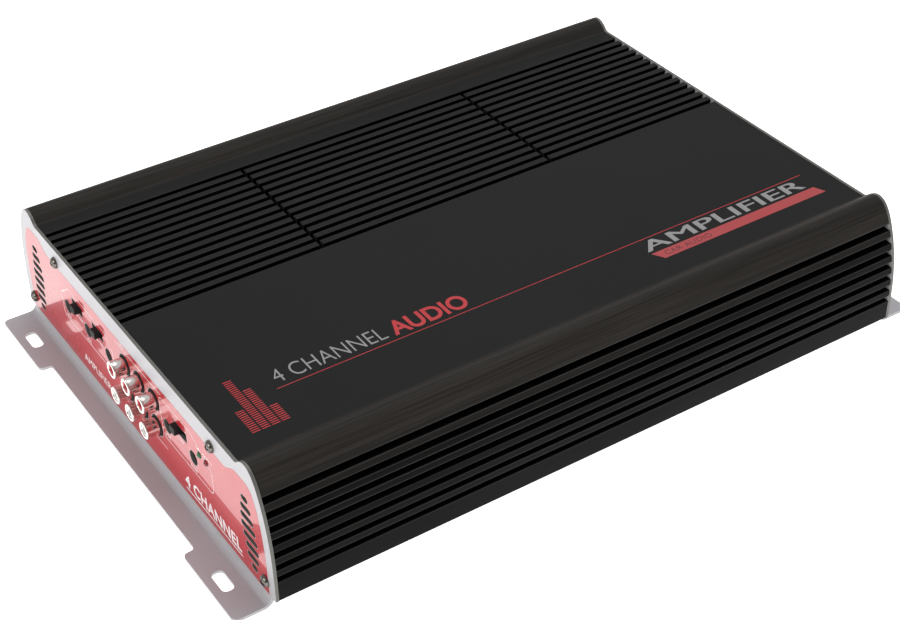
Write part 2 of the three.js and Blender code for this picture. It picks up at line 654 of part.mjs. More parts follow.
function clampBar(side) {
  const { length, thickness, height, z, inset, holes } = CLAMP_BAR;
  const ys = [side * (SIDE - inset), side * (SIDE - inset - thickness)].sort((a, b) => a - b);
  let body = box([-length / 2, length / 2], ys, span(z, height));
  for (const x of holes) body = body.subtract(rod('y', x, z, PORT, ys[0] - CUT, ys[1] + CUT, 5));
  return body;
}

// ---------------------------------------------------------------- assembly

add('heatsink', heatsink(), anodised);
add('bottom_cover', bottomCover(), steel);
add('input_end_plate', endPlate(-1, inputOpenings()), powderCoat);
add('output_end_plate', endPlate(1, outputOpenings()), powderCoat);
SCREW_AXES.forEach(({ y, z }, i) => {
  add(`input_plate_screw_${WORD[i]}`, endScrew(-1, y, z), darkNickel);
  add(`output_plate_screw_${WORD[i]}`, endScrew(1, y, z), darkNickel);
});

add('main_board', mainBoard(), boardGreen);
add('panel_board', panelBoard(), boardGreen);

add('phono_block', phonoBlock(), blackPlastic);
for (const { y, z, row, column } of phonoAxes()) {
  const place = `${['upper', 'lower'][row]}_${WORD[column]}`;
  add(`phono_sleeve_${place}`, phonoSleeve(y, z), nickel);
  add(`phono_insulator_${place}`, phonoInsulator(y, z), row === 0 ? redPlastic : whitePlastic);
}

TRIMMER.y.forEach((y, i) => {
  add(`trimmer_body_${WORD[i]}`, trimmerBody(y), blackPlastic);
  add(`trimmer_rotor_${WORD[i]}`, trimmerRotor(y), blackPlastic);
});
SWITCHES.forEach(({ y, position }, i) => {
  add(`switch_housing_${WORD[i]}`, switchHousing(y), steel);
  add(`switch_slider_${WORD[i]}`, switchSlider(y, position), blackPlastic);
});
add('power_lamp', lamp(LAMP.y[0]), greenLens);
add('protect_lamp', lamp(LAMP.y[1]), redLens);

add('power_terminal_block', terminalBlock(POWER, POWER_SCREW.radius + GAP), blackPlastic);
for (let i = 0; i < POWER.ways; i++) add(`power_terminal_screw_${WORD[i]}`, powerScrew(i), nickel);
add('speaker_terminal_block', terminalBlock(SPEAKER, SPEAKER_WELL), blackPlastic);
add('fuse_holder', fuseHolder(), blackPlastic);
add('fuse_one', bladeFuse(-1), fuseAmber);
add('fuse_two', bladeFuse(1), fuseAmber);

add('transformer_core', ring(0, 1), ferrite);
add('transformer_winding', winding(), copper);
CAPACITORS.forEach((place, i) => add(`storage_capacitor_${WORD[i]}`, capacitor(place), capacitorBlue));
add('output_inductor', inductor(), ferrite);
add('clamp_bar_front', clampBar(-1), steel);
add('clamp_bar_rear', clampBar(1), steel);

export default amplifier;
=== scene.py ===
# %% [markdown]
# # A four-channel car amplifier
# The amplifier is a black anodised aluminium extrusion, closed by two pressed steel plates whose
# feet bend outwards into mounting ears. The near plate carries the inputs and controls, the far
# one the power and loudspeaker terminals. The frame that is loaded here already holds every part
# at its real size, so this script only gives the parts their fine shape and their finish.

# %% Load the frame
import math

import bmesh
import bpy
from mathutils import Matrix, Vector


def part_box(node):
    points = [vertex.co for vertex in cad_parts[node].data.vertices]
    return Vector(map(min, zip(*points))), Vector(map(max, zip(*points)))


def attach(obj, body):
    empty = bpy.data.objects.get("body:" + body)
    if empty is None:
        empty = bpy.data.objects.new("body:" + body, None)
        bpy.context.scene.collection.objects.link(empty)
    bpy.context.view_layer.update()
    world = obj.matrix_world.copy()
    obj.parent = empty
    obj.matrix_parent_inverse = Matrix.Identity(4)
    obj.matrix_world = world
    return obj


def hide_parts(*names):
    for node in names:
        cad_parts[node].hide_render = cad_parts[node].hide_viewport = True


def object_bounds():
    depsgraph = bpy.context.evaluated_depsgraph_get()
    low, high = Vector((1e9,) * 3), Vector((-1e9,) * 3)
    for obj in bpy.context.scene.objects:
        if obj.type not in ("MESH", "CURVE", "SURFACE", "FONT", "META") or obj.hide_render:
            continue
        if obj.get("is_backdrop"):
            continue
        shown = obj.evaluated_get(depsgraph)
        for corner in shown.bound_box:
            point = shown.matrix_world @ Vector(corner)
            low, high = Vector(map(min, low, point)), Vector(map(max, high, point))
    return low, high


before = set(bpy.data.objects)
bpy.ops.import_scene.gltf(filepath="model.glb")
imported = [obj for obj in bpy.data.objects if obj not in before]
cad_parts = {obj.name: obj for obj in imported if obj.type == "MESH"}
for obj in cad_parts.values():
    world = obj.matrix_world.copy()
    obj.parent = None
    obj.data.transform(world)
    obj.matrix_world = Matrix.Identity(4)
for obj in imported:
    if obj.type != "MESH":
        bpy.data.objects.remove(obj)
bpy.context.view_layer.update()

# %% [markdown]
# ## Working in millimetres
# A maker thinks of this object in millimetres, and Blender in metres. The shapes below are drawn
# in millimetres, and `keep` scales each one once, when it becomes an object. One conversion in
# one place is easier to trust than a factor in every line.

# %% Millimetres
MM = 0.001
BODY = "amplifier"
WORDS = ["one", "two", "three", "four", "five", "six", "seven", "eight"]


def edges_of(node_name):
    """Lowest and highest corner of a CAD node, in millimetres."""
    low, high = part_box(node_name)
    return low / MM, high / MM


def middle_of(node_name):
    low, high = edges_of(node_name)
    return (low + high) / 2


sink_low, sink_high = edges_of("heatsink")
UNDER = sink_low.z
END = sink_high.x
SIDE = sink_high.y
print(f"heatsink {2 * END:.1f} x {2 * SIDE:.1f} x {sink_high.z - UNDER:.1f} mm, underside at {UNDER:.1f}")

# %% [markdown]
# ## Camera
# The camera looks down on the input end from the front left. It comes before the modelling,
# because every later choice of detail is judged through it. Its direction is built from a turn
# (yaw), a tilt (pitch) and a slight roll, which a person can read, and not from a matrix.

# %% Camera
CAMERA_PLACE = Vector((-0.3766, -0.5857, 0.5220))
CAMERA_YAW = math.radians(32.58)
CAMERA_PITCH = math.radians(-36.64)
CAMERA_ROLL = math.radians(-1.24)

camera_data = bpy.data.cameras.new("camera")
camera_data.lens = 71.6
camera_data.sensor_width = 36
camera = bpy.data.objects.new("camera", camera_data)
bpy.context.scene.collection.objects.link(camera)
turn = Matrix.Rotation(-CAMERA_YAW, 4, "Z") @ Matrix.Rotation(math.pi / 2 + CAMERA_PITCH, 4, "X")
camera.matrix_world = Matrix.Translation(CAMERA_PLACE) @ turn @ Matrix.Rotation(CAMERA_ROLL, 4, "Z")
bpy.context.scene.camera = camera
bpy.context.scene.view_settings.view_transform = "Standard"
print("camera looks along", tuple(round(x, 3) for x in camera.matrix_world.col[2][:3]))

# %% [markdown]
# ## Making and keeping a mesh
# Each piece starts in a bmesh, an editable mesh that the operators in `bmesh.ops` work on. When
# its shape is right, `keep` turns it into an object: it merges doubled points, makes the faces
# point outwards, shades it smooth between soft edges and leaves a crease at hard ones, and lets it
# ride on the part of the frame that it belongs to. A Weighted Normal modifier lets the large faces
# decide the shading, so that a wide flat face doesn't look dented beside its small bevels.

# %% Helpers: keep a bmesh as an object
CREASE = math.radians(34)


def shaded(bm, crease=CREASE):
    """Smooth faces, with a hard crease wherever two of them meet at a larger angle."""
    for face in bm.faces:
        face.smooth = True
    for edge in bm.edges:
        edge.smooth = len(edge.link_faces) == 2 and edge.calc_face_angle(0) < crease


def keep(name, bm, materials, body=BODY, replaces=(), turn_out=True):
    """Makes the bmesh, drawn in millimetres, an object that rides on a body of the frame."""
    bmesh.ops.scale(bm, vec=(MM, MM, MM), verts=bm.verts)
    bmesh.ops.remove_doubles(bm, verts=bm.verts, dist=1e-7)
    if turn_out:
        bmesh.ops.recalc_face_normals(bm, faces=bm.faces)
    shaded(bm)
    mesh = bpy.data.meshes.new(name)
    bm.to_mesh(mesh)
    bm.free()
    for material in materials if isinstance(materials, list) else [materials]:
        mesh.materials.append(material)
    piece = bpy.data.objects.new(name, mesh)
    bpy.context.scene.collection.objects.link(piece)
    level = piece.modifiers.new("flat faces stay flat", "WEIGHTED_NORMAL")
    level.keep_sharp = True
    level.weight = 90
    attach(piece, body)
    if replaces:
        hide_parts(*replaces)
    print(f"{name}: {len(mesh.polygons)} faces")
    return piece


# %% [markdown]
# ## Small shape tools
# Three operators make nearly everything here. `bmesh.ops.spin` turns a profile about an axis, for
# sockets, screws and lamps. `bmesh.ops.triangle_fill` fills an outline and leaves its holes open,
# and an extrusion gives it thickness, for the heatsink and the plates. `bmesh.ops.bevel` rounds
# the edges, because real edges always catch a line of light.

# %% Helpers: outlines, slabs, turned shapes and bevels
FLAT = math.radians(1)


def rounded(corners, steps=4):
    """A closed outline through [a, b, radius] corners, each rounded by its radius."""
    points = []
    for i, (a, b, radius) in enumerate(corners):
        corner = Vector((a, b))
        if radius == 0:
            points.append(corner)
            continue
        back = Vector(corners[i - 1][:2]) - corner
        ahead = Vector(corners[(i + 1) % len(corners)][:2]) - corner
        half = back.angle(ahead) / 2
        reach = min(radius / math.tan(half), 0.49 * back.length, 0.49 * ahead.length)
        start = corner + back.normalized() * reach
        stop = corner + ahead.normalized() * reach
        for k in range(steps + 1):
            t = k / steps
            points.append(start * (1 - t) ** 2 + corner * 2 * t * (1 - t) + stop * t * t)
    return points


def rectangle(a, b, width, height, radius=0.0, steps=3):
    """A rectangle round the point (a, b), its corners rounded."""
    w, h = width / 2, height / 2
    corners = [(a - w, b - h), (a + w, b - h), (a + w, b + h), (a - w, b + h)]
    return rounded([(x, y, radius) for x, y in corners], steps)


def circle(a, b, radius, count=32):
    turns = [2 * math.pi * i / count for i in range(count)]
    return [Vector((a + radius * math.cos(t), b + radius * math.sin(t))) for t in turns]


def place_on(plane, at):
    """A function from a flat (a, b) to a point: plane "x" puts a, b on Y, Z, and so on."""
    if plane == "x":
        return lambda p: (at, p[0], p[1])
    if plane == "y":
        return lambda p: (p[0], at, p[1])
    return lambda p: (p[0], p[1], at)


def add_loop(bm, points, placed):
    """A closed ring of edges through the points."""
    ring = [bm.verts.new(placed(p)) for p in points]
    return [bm.edges.new((ring[i - 1], ring[i])) for i in range(len(ring))]


def unique(items):
    """Each item once, in the order that it came: a set would give another order each run."""
    return list(dict.fromkeys(items))


def filled(bm, outlines, placed, merge=True):
    """Faces inside the first outline and outside the others."""
    border = [edge for points in outlines for edge in add_loop(bm, points, placed)]
    made = bmesh.ops.triangle_fill(bm, use_beauty=True, edges=border)["geom"]
    faces = [g for g in made if isinstance(g, bmesh.types.BMFace)]
    if merge:
        rim = set(border)
        inside = unique(e for f in faces for e in f.edges if e not in rim)
        bmesh.ops.dissolve_limit(bm, angle_limit=FLAT, edges=inside, verts=[])


def slab(bm, outlines, plane, low, high):
    """The outline, with its holes, drawn out from low to high."""
    before = set(bm.faces)
    filled(bm, outlines, place_on(plane, low))
    fresh = [f for f in bm.faces if f not in before]
    grown = bmesh.ops.extrude_face_region(bm, geom=fresh)["geom"]
    step = {"x": (high - low, 0, 0), "y": (0, high - low, 0), "z": (0, 0, high - low)}[plane]
    bmesh.ops.translate(bm, vec=step, verts=[g for g in grown if isinstance(g, bmesh.types.BMVert)])


def block(bm, low, high, bevel=0.0, segments=2):
    """A box from one corner to the other, with rounded edges."""
    size = Vector(high) - Vector(low)
    middle = (Vector(high) + Vector(low)) / 2
    placing = Matrix.Translation(middle) @ Matrix.Diagonal((*size, 1))
    made = bmesh.ops.create_cube(bm, size=1, matrix=placing)["verts"]
    if bevel:
        rims = unique(e for v in made for e in v.link_edges)
        bmesh.ops.bevel(bm, geom=rims, offset=bevel, segments=segments, affect="EDGES",
                        profile=0.5, material=-1, clamp_overlap=True)


def turned(bm, profile, centre, direction, segments=40, closed=False):
    """A profile of (radius, distance) pairs turned about the direction through the centre."""
    axis = Vector(direction).normalized()
    out = axis.orthogonal().normalized()
    points = [bm.verts.new(Vector(centre) + out * r + axis * d) for r, d in profile]
    lines = [bm.edges.new(pair) for pair in zip(points, points[1:])]
    if closed:
        lines.append(bm.edges.new((points[-1], points[0])))
    before = set(bm.verts)
    bmesh.ops.spin(bm, geom=points + lines, cent=centre, axis=axis, angle=2 * math.pi,
                   steps=segments, use_merge=True)
    fresh = points + [v for v in bm.verts if v not in before]
    bmesh.ops.remove_doubles(bm, verts=[v for v in fresh if v.is_valid], dist=1e-5)


def softened(bm, width, segments=2, angle=40):
    """Bevels every edge that is sharper than the angle."""
    limit = math.radians(angle)
    sharp = [e for e in bm.edges if len(e.link_faces) == 2 and e.calc_face_angle(0) > limit]
    bmesh.ops.bevel(bm, geom=sharp, offset=width, segments=segments, affect="EDGES",
                    profile=0.5, material=-1, clamp_overlap=True)


def as_object(bm, name):
    mesh = bpy.data.meshes.new(name)
    bm.to_mesh(mesh)
    bm.free()
    made = bpy.data.objects.new(name, mesh)
    bpy.context.scene.collection.objects.link(made)
    return made


def carved(bm, cutter, operation="DIFFERENCE", crossing=False):
    """A new bmesh: the first one less the cutter, whose own parts may cross each other."""
    bmesh.ops.recalc_face_normals(bm, faces=bm.faces)
    bmesh.ops.recalc_face_normals(cutter, faces=cutter.faces)
    body, tool = as_object(bm, "body"), as_object(cutter, "tool")
    cut = body.modifiers.new("cut", "BOOLEAN")
    cut.operation = operation
    cut.solver = "EXACT"
    cut.use_self = crossing
    cut.object = tool
    bpy.context.view_layer.update()
    result = bmesh.new()
    result.from_object(body, bpy.context.evaluated_depsgraph_get())
    for used in (body, tool):
        bpy.data.objects.remove(used)
    return result


def refined(node_name, width, segments=2, angle=40):
    """A merged copy of a CAD node in millimetres, with its sharp edges rounded."""
    bm = bmesh.new()
    bm.from_mesh(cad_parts[node_name].data)
    bmesh.ops.scale(bm, vec=(1 / MM, 1 / MM, 1 / MM), verts=bm.verts)
    bmesh.ops.remove_doubles(bm, verts=bm.verts, dist=1e-3)
    bmesh.ops.dissolve_limit(bm, angle_limit=FLAT, edges=bm.edges, verts=bm.verts)
    softened(bm, width, segments, angle)
    return bm


# %% [markdown]
# ## Shared surface effects
# Three effects turn up in many finishes: fine grain, drawn streaks and uneven gloss. Each is a
# node group, built once and placed in a material with that material's own values. A group only
# puts out masks, values and normals, so the Principled BSDF stays in the material.
# All of them read Object coordinates, which stay still on the piece when it moves.

# %% Node helpers
def start_group(name, inputs, outputs):
    tree = bpy.data.node_groups.new(name, "ShaderNodeTree")
    for label, default in inputs:
        socket = tree.interface.new_socket(label, in_out="INPUT", socket_type="NodeSocketFloat")
        socket.default_value = default
    for label, kind in outputs:
        tree.interface.new_socket(label, in_out="OUTPUT", socket_type=kind)
    return tree, tree.nodes.new("NodeGroupInput"), tree.nodes.new("NodeGroupOutput")


def add_node(tree, kind, values=None, **settings):
    made = tree.nodes.new(kind)
    for name, value in settings.items():
        setattr(made, name, value)
    for name, value in (values or {}).items():
        made.inputs[name].default_value = value
    return made


# %% Group: fine grain
grain, grain_in, grain_out = start_group(
    "fine grain",
    [("Scale", 1500.0), ("Depth", 0.0001)],
    [("Mask", "NodeSocketFloat"), ("Normal", "NodeSocketVector")],
)
place = add_node(grain, "ShaderNodeTexCoord")
noise = add_node(grain, "ShaderNodeTexNoise", {"Detail": 3.0, "Roughness": 0.6})
bump = add_node(grain, "ShaderNodeBump", {"Strength": 0.6})
grain.links.new(place.outputs["Object"], noise.inputs["Vector"])
grain.links.new(grain_in.outputs["Scale"], noise.inputs["Scale"])
grain.links.new(grain_in.outputs["Depth"], bump.inputs["Distance"])
grain.links.new(noise.outputs["Fac"], bump.inputs["Height"])
grain.links.new(noise.outputs["Fac"], grain_out.inputs["Mask"])
grain.links.new(bump.outputs["Normal"], grain_out.inputs["Normal"])

# %% Group: streaks drawn along X
streaks, streaks_in, streaks_out = start_group(
    "drawn streaks",
    [("Scale", 900.0), ("Contrast", 1.0)],
    [("Mask", "NodeSocketFloat")],
)
STREAK_LENGTH = 60.0
place = add_node(streaks, "ShaderNodeTexCoord")
stretch = add_node(streaks, "ShaderNodeMapping", {"Scale": (1 / STREAK_LENGTH, 1.0, 1.0)})
noise = add_node(streaks, "ShaderNodeTexNoise", {"Detail": 4.0, "Roughness": 0.65})
centred = add_node(streaks, "ShaderNodeMath", {1: 0.5}, operation="SUBTRACT")
spread = add_node(streaks, "ShaderNodeMath", operation="MULTIPLY")
back = add_node(streaks, "ShaderNodeMath", {1: 0.5}, operation="ADD", use_clamp=True)
streaks.links.new(place.outputs["Object"], stretch.inputs["Vector"])
streaks.links.new(stretch.outputs["Vector"], noise.inputs["Vector"])
streaks.links.new(streaks_in.outputs["Scale"], noise.inputs["Scale"])
streaks.links.new(noise.outputs["Fac"], centred.inputs[0])
streaks.links.new(centred.outputs[0], spread.inputs[0])
streaks.links.new(streaks_in.outputs["Contrast"], spread.inputs[1])
streaks.links.new(spread.outputs[0], back.inputs[0])
streaks.links.new(back.outputs[0], streaks_out.inputs["Mask"])

# %% Group: uneven gloss
gloss, gloss_in, gloss_out = start_group(
    "uneven gloss",
    [("Scale", 30.0), ("Low", 0.3), ("High", 0.4)],
    [("Roughness", "NodeSocketFloat")],
)
place = add_node(gloss, "ShaderNodeTexCoord")
noise = add_node(gloss, "ShaderNodeTexNoise", {"Detail": 5.0, "Roughness": 0.55})
spread = add_node(gloss, "ShaderNodeMapRange", {"From Min": 0.35, "From Max": 0.65})
gloss.links.new(place.outputs["Object"], noise.inputs["Vector"])
gloss.links.new(gloss_in.outputs["Scale"], noise.inputs["Scale"])
gloss.links.new(noise.outputs["Fac"], spread.inputs["Value"])
gloss.links.new(gloss_in.outputs["Low"], spread.inputs["To Min"])
gloss.links.new(gloss_in.outputs["High"], spread.inputs["To Max"])
gloss.links.new(spread.outputs["Result"], gloss_out.inputs["Roughness"])
print("groups:", grain.name, "/", streaks.name, "/", gloss.name)

# %% [markdown]
# ## A recipe for a finish
# Most finishes here differ only in numbers: two close colours that the grain mixes, how metallic
# and how glossy they are, and how deep the grain is. One function builds them, and each finish is
# then a line that reads like a paint card. Colours are linear values, so a mid grey is about 0.2.

# %% The finish function
def mixed(tree, mask, low, high):
    """A colour between low and high, by the mask."""
    mix = add_node(tree, "ShaderNodeMix", data_type="RGBA")
    mix.inputs["A"].default_value = (*low, 1)
    mix.inputs["B"].default_value = (*high, 1)
    tree.links.new(mask, mix.inputs["Factor"])
    return mix.outputs["Result"]


def group_node(tree, group, values):
    made = add_node(tree, "ShaderNodeGroup", node_tree=group)
    for name, value in values.items():
        made.inputs[name].default_value = value
    return made


def start_material(name):
    material = bpy.data.materials.new(name)
    material.use_nodes = True
    return material, material.node_tree, material.node_tree.nodes["Principled BSDF"]


def finish(name, low, high, roughness, metallic=0.0, grain_scale=1500.0, depth=0.00005,
           gloss_scale=30.0, settings=None):
    """A material whose grain mixes two colours, with uneven gloss and a fine bump."""
    material, tree, shader = start_material(name)
    grit = group_node(tree, grain, {"Scale": grain_scale, "Depth": depth})
    shine = group_node(tree, gloss, {"Scale": gloss_scale, "Low": roughness[0], "High": roughness[1]})
    tree.links.new(mixed(tree, grit.outputs["Mask"], low, high), shader.inputs["Base Color"])
    tree.links.new(shine.outputs["Roughness"], shader.inputs["Roughness"])
    tree.links.new(grit.outputs["Normal"], shader.inputs["Normal"])
    shader.inputs["Metallic"].default_value = metallic
    for label, value in (settings or {}).items():
        shader.inputs[label].default_value = value
    return material


# %% Metals
dark_nickel = finish("dark nickel", (0.1, 0.094, 0.085), (0.24, 0.225, 0.2), (0.16, 0.3), 1.0, 900, 2e-5)
bright_nickel = finish("bright nickel", (0.72, 0.7, 0.66), (0.9, 0.88, 0.84), (0.06, 0.16), 1.0, 700, 1e-5)
zinc_steel = finish("zinc plated steel", (0.4, 0.41, 0.42), (0.62, 0.63, 0.64), (0.25, 0.45), 1.0, 500,
                    3e-5)
tinned = finish("tinned leads", (0.55, 0.55, 0.54), (0.75, 0.75, 0.74), (0.2, 0.4), 1.0, 900, 2e-5)
copper_wire = finish("enamelled copper", (0.42, 0.13, 0.05), (0.62, 0.24, 0.1), (0.18, 0.32), 1.0, 400,
                     2e-5)

# %% Plastics, ferrite and board
black_plastic = finish("moulded black plastic", (0.006, 0.006, 0.0065), (0.014, 0.014, 0.015), (0.4, 0.55),
                       0.0, 2200, 6e-5, settings={"Specular IOR Level": 0.3})
red_plastic = finish("red insulator", (0.42, 0.012, 0.016), (0.6, 0.025, 0.03), (0.22, 0.36), 0.0, 900,
                     2e-5)
white_plastic = finish("white insulator", (0.7, 0.69, 0.66), (0.82, 0.81, 0.78), (0.25, 0.4), 0.0, 900,
                       2e-5)
ferrite_black = finish("pressed ferrite", (0.03, 0.031, 0.033), (0.075, 0.076, 0.08), (0.55, 0.75), 0.0,
                       1400, 1e-4)
sleeve_film = finish("shrunk sleeve film", (0.012, 0.02, 0.075), (0.025, 0.036, 0.12), (0.2, 0.3), 0.0, 300,
                     2e-5)
chip_epoxy = finish("chip epoxy", (0.012, 0.012, 0.012), (0.03, 0.03, 0.03), (0.5, 0.65), 0.0, 2500, 8e-5)
green_lens = finish("green lens", (0.02, 0.17, 0.06), (0.03, 0.24, 0.09), (0.08, 0.16), 0.0, 500, 5e-6,
                    settings={"Transmission Weight": 0.35, "IOR": 1.5})
red_lens = finish("red lens", (0.22, 0.008, 0.012), (0.3, 0.014, 0.02), (0.08, 0.16), 0.0, 500, 5e-6,
                  settings={"Transmission Weight": 0.35, "IOR": 1.5})
fuse_plastic = finish("clear amber fuse plastic", (0.75, 0.23, 0.03), (0.85, 0.3, 0.05), (0.12, 0.2), 0.0,
                      600, 1e-5, settings={"Transmission Weight": 0.55, "IOR": 1.49})
white_ink = finish("white panel ink", (0.78, 0.72, 0.72), (0.9, 0.86, 0.86), (0.3, 0.42), 0.0, 1800, 1e-5)
grey_ink = finish("grey top ink", (0.23, 0.23, 0.235), (0.34, 0.34, 0.345), (0.45, 0.6), 0.0, 2600, 1e-5)
red_ink = finish("red top ink", (0.42, 0.012, 0.018), (0.58, 0.022, 0.03), (0.4, 0.55), 0.0, 2600, 1e-5)
dull_red_ink = finish("dull red bar ink", (0.36, 0.03, 0.035), (0.47, 0.05, 0.055), (0.45, 0.6), 0.0, 2600,
                      1e-5)
dark_red_ink = finish("dark red ink", (0.16, 0.012, 0.015), (0.22, 0.02, 0.025), (0.45, 0.6), 0.0, 2600,
                      1e-5)
red_gloss_ink = finish("glossy red panel ink", (0.43, 0.007, 0.014), (0.52, 0.01, 0.019), (0.25, 0.35), 0.0,
                       900, 1e-5, settings={"Coat Weight": 1.0, "Coat Roughness": 0.03, "Coat IOR": 1.28,
                                            "Specular IOR Level": 0.15})
print("finishes:", len(bpy.data.materials))

# %% [markdown]
# ## Black anodised aluminium
# An extruded profile leaves its die with fine lines along its length. The flat top was bead
# blasted before it was dyed, so it is an even matt grey-black, while the shoulders and sides keep
# the drawn lines and a warmer tone. One material does both: a mask from the distance to the
# middle blends from blasted to drawn. The drawn colour also darkens from the crest down to the
# sides, as painted shade. Two attributes of the mesh add the rest: rubbed edges are a little
# lighter, and the grooves are painted nearly black, as painted shade in the hollows.

# %% Anodised aluminium
FLAT_HALF = SIDE - 25.2
material, tree, shader = start_material("black anodised aluminium")
anodised = material
place = add_node(tree, "ShaderNodeTexCoord")
parts = add_node(tree, "ShaderNodeSeparateXYZ")
across = add_node(tree, "ShaderNodeMath", operation="ABSOLUTE")
drawn = add_node(tree, "ShaderNodeMapRange",
                 {"From Min": (FLAT_HALF - 1) * MM, "From Max": (FLAT_HALF + 2) * MM})
lines = group_node(tree, streaks, {"Scale": 1100.0, "Contrast": 2.2})
broad = group_node(tree, streaks, {"Scale": 160.0, "Contrast": 2.0})
blasted = group_node(tree, grain, {"Scale": 2600.0, "Depth": 5e-5})
shine = group_node(tree, gloss, {"Scale": 14.0, "Low": 0.42, "High": 0.5})
flat_colour = mixed(tree, blasted.outputs["Mask"], (0.0095, 0.0102, 0.01), (0.022, 0.0227, 0.0222))
line_colour = mixed(tree, lines.outputs["Mask"], (0.021, 0.0195, 0.0178), (0.05, 0.046, 0.0415))
broad_colour = mixed(tree, broad.outputs["Mask"], (0.6, 0.6, 0.6), (1.0, 0.97, 0.93))
toned = add_node(tree, "ShaderNodeMix", {"Factor": 1.0}, data_type="RGBA", blend_type="MULTIPLY")
# Painted shade: the drawn colour is cut to a tenth below the shoulders and rises to full over the crest, so
# the sides read darker than the lit shoulders.
shoulder = add_node(tree, "ShaderNodeMapRange", {"From Min": 46 * MM, "From Max": 60 * MM, "To Min": 0.1,
                                                 "To Max": 1.0})
shaded_below_shoulder = add_node(tree, "ShaderNodeMix", {"Factor": 1.0}, data_type="RGBA", blend_type="MULTIPLY")
joined = add_node(tree, "ShaderNodeMix", data_type="RGBA")
rubbed = add_node(tree, "ShaderNodeMix", data_type="RGBA")
rubbed.inputs["B"].default_value = (0.05, 0.049, 0.047, 1)
edge = add_node(tree, "ShaderNodeAttribute", attribute_name="edge")
chance = add_node(tree, "ShaderNodeMath", operation="MULTIPLY")
# Painted shade: faces marked as lying in a cooling groove are mixed towards near black.
deep = add_node(tree, "ShaderNodeMix", data_type="RGBA")
deep.inputs["B"].default_value = (0.0018, 0.0018, 0.0018, 1)
groove = add_node(tree, "ShaderNodeAttribute", attribute_name="groove")
tree.links.new(place.outputs["Object"], parts.inputs["Vector"])
tree.links.new(parts.outputs["Y"], across.inputs[0])
tree.links.new(across.outputs[0], drawn.inputs["Value"])
tree.links.new(line_colour, toned.inputs["A"])
tree.links.new(broad_colour, toned.inputs["B"])
tree.links.new(drawn.outputs["Result"], joined.inputs["Factor"])
tree.links.new(flat_colour, joined.inputs["A"])
tree.links.new(parts.outputs["Z"], shoulder.inputs["Value"])
tree.links.new(toned.outputs["Result"], shaded_below_shoulder.inputs["A"])
tree.links.new(shoulder.outputs["Result"], shaded_below_shoulder.inputs["B"])
tree.links.new(shaded_below_shoulder.outputs["Result"], joined.inputs["B"])
tree.links.new(edge.outputs["Fac"], chance.inputs[0])
tree.links.new(broad.outputs["Mask"], chance.inputs[1])
tree.links.new(chance.outputs[0], rubbed.inputs["Factor"])
tree.links.new(joined.outputs["Result"], rubbed.inputs["A"])
tree.links.new(groove.outputs["Fac"], deep.inputs["Factor"])
tree.links.new(rubbed.outputs["Result"], deep.inputs["A"])
tree.links.new(deep.outputs["Result"], shader.inputs["Base Color"])
tree.links.new(shine.outputs["Roughness"], shader.inputs["Roughness"])
tree.links.new(blasted.outputs["Normal"], shader.inputs["Normal"])
shader.inputs["Specular IOR Level"].default_value = 0.06
print("anodised: drawn beyond", round(FLAT_HALF, 1), "mm from the middle")

# %% [markdown]
# ## Silver powder coat
# Powder coat melts into a skin with a slight orange peel: long shallow waves that soften what is
# mirrored in it. Metal flakes under the skin make it gleam rather than shine. An attribute of the
# mesh marks the upright rim faces and hole walls of each plate, and they come out darker.

# %% Powder coat
material, tree, shader = start_material("silver powder coat")
powder_coat = material
peel = group_node(tree, grain, {"Scale": 420.0, "Depth": 2e-5})
flecks = group_node(tree, grain, {"Scale": 3200.0, "Depth": 1e-5})
shine = group_node(tree, gloss, {"Scale": 60.0, "Low": 0.36, "High": 0.42})
coat_colour = mixed(tree, flecks.outputs["Mask"], (0.42, 0.416, 0.43), (0.52, 0.514, 0.532))
# Faces that carry the rim mark are mixed towards a dark grey.
dark_rim_mix = add_node(tree, "ShaderNodeMix", data_type="RGBA")
dark_rim_mix.inputs["B"].default_value = (0.13, 0.13, 0.115, 1)
dark_rim = add_node(tree, "ShaderNodeAttribute", attribute_name="dark_rim")
tree.links.new(dark_rim.outputs["Fac"], dark_rim_mix.inputs["Factor"])
tree.links.new(coat_colour, dark_rim_mix.inputs["A"])
tree.links.new(dark_rim_mix.outputs["Result"], shader.inputs["Base Color"])
tree.links.new(shine.outputs["Roughness"], shader.inputs["Roughness"])
tree.links.new(peel.outputs["Normal"], shader.inputs["Normal"])
shader.inputs["Metallic"].default_value = 0.05
print("powder coat:", len(tree.nodes), "nodes")

# %% [markdown]
# ## The heatsink's section
# An extrusion is one flat section pushed through a die, so it is drawn once, from the side. The
# outer line climbs one wall, where cooling grooves are cut into a gently leaning curve, rolls over
# the raised shoulder, crosses the top and comes down the other wall. The inner line comes back
# along the cavity. Curves are quadratic, because the section was designed with such simple arcs.

# %% The curve of a side
TOP = 56.4
CREST = 61.0
SIDE_STRAIGHT = 12.7
SIDE_CONTROL = 35.0
SHOULDER = (7.0, 51.6)
CREST_INSET = 16.5
STEP = (23.7, 57.0)
FLAT_INSET = 25.2


def quadratic(start, control, stop, steps):
    """Points after the start along a quadratic curve."""
    made = []
    for k in range(1, steps + 1):
        t = k / steps
        made.append(tuple((1 - t) ** 2 * a + 2 * t * (1 - t) * b + t * t * c
                          for a, b, c in zip(start, control, stop)))
    return made


def side_inset(z):
    """How far the side curve leans in at a height above the heatsink's underside."""
    if z <= SIDE_STRAIGHT:
        return 0.0
    a = SHOULDER[1] - 2 * SIDE_CONTROL + SIDE_STRAIGHT
    b = 2 * (SIDE_CONTROL - SIDE_STRAIGHT)
    t = (math.sqrt(b * b + 4 * a * (z - SIDE_STRAIGHT)) - b) / (2 * a)
    return SHOULDER[0] * t * t


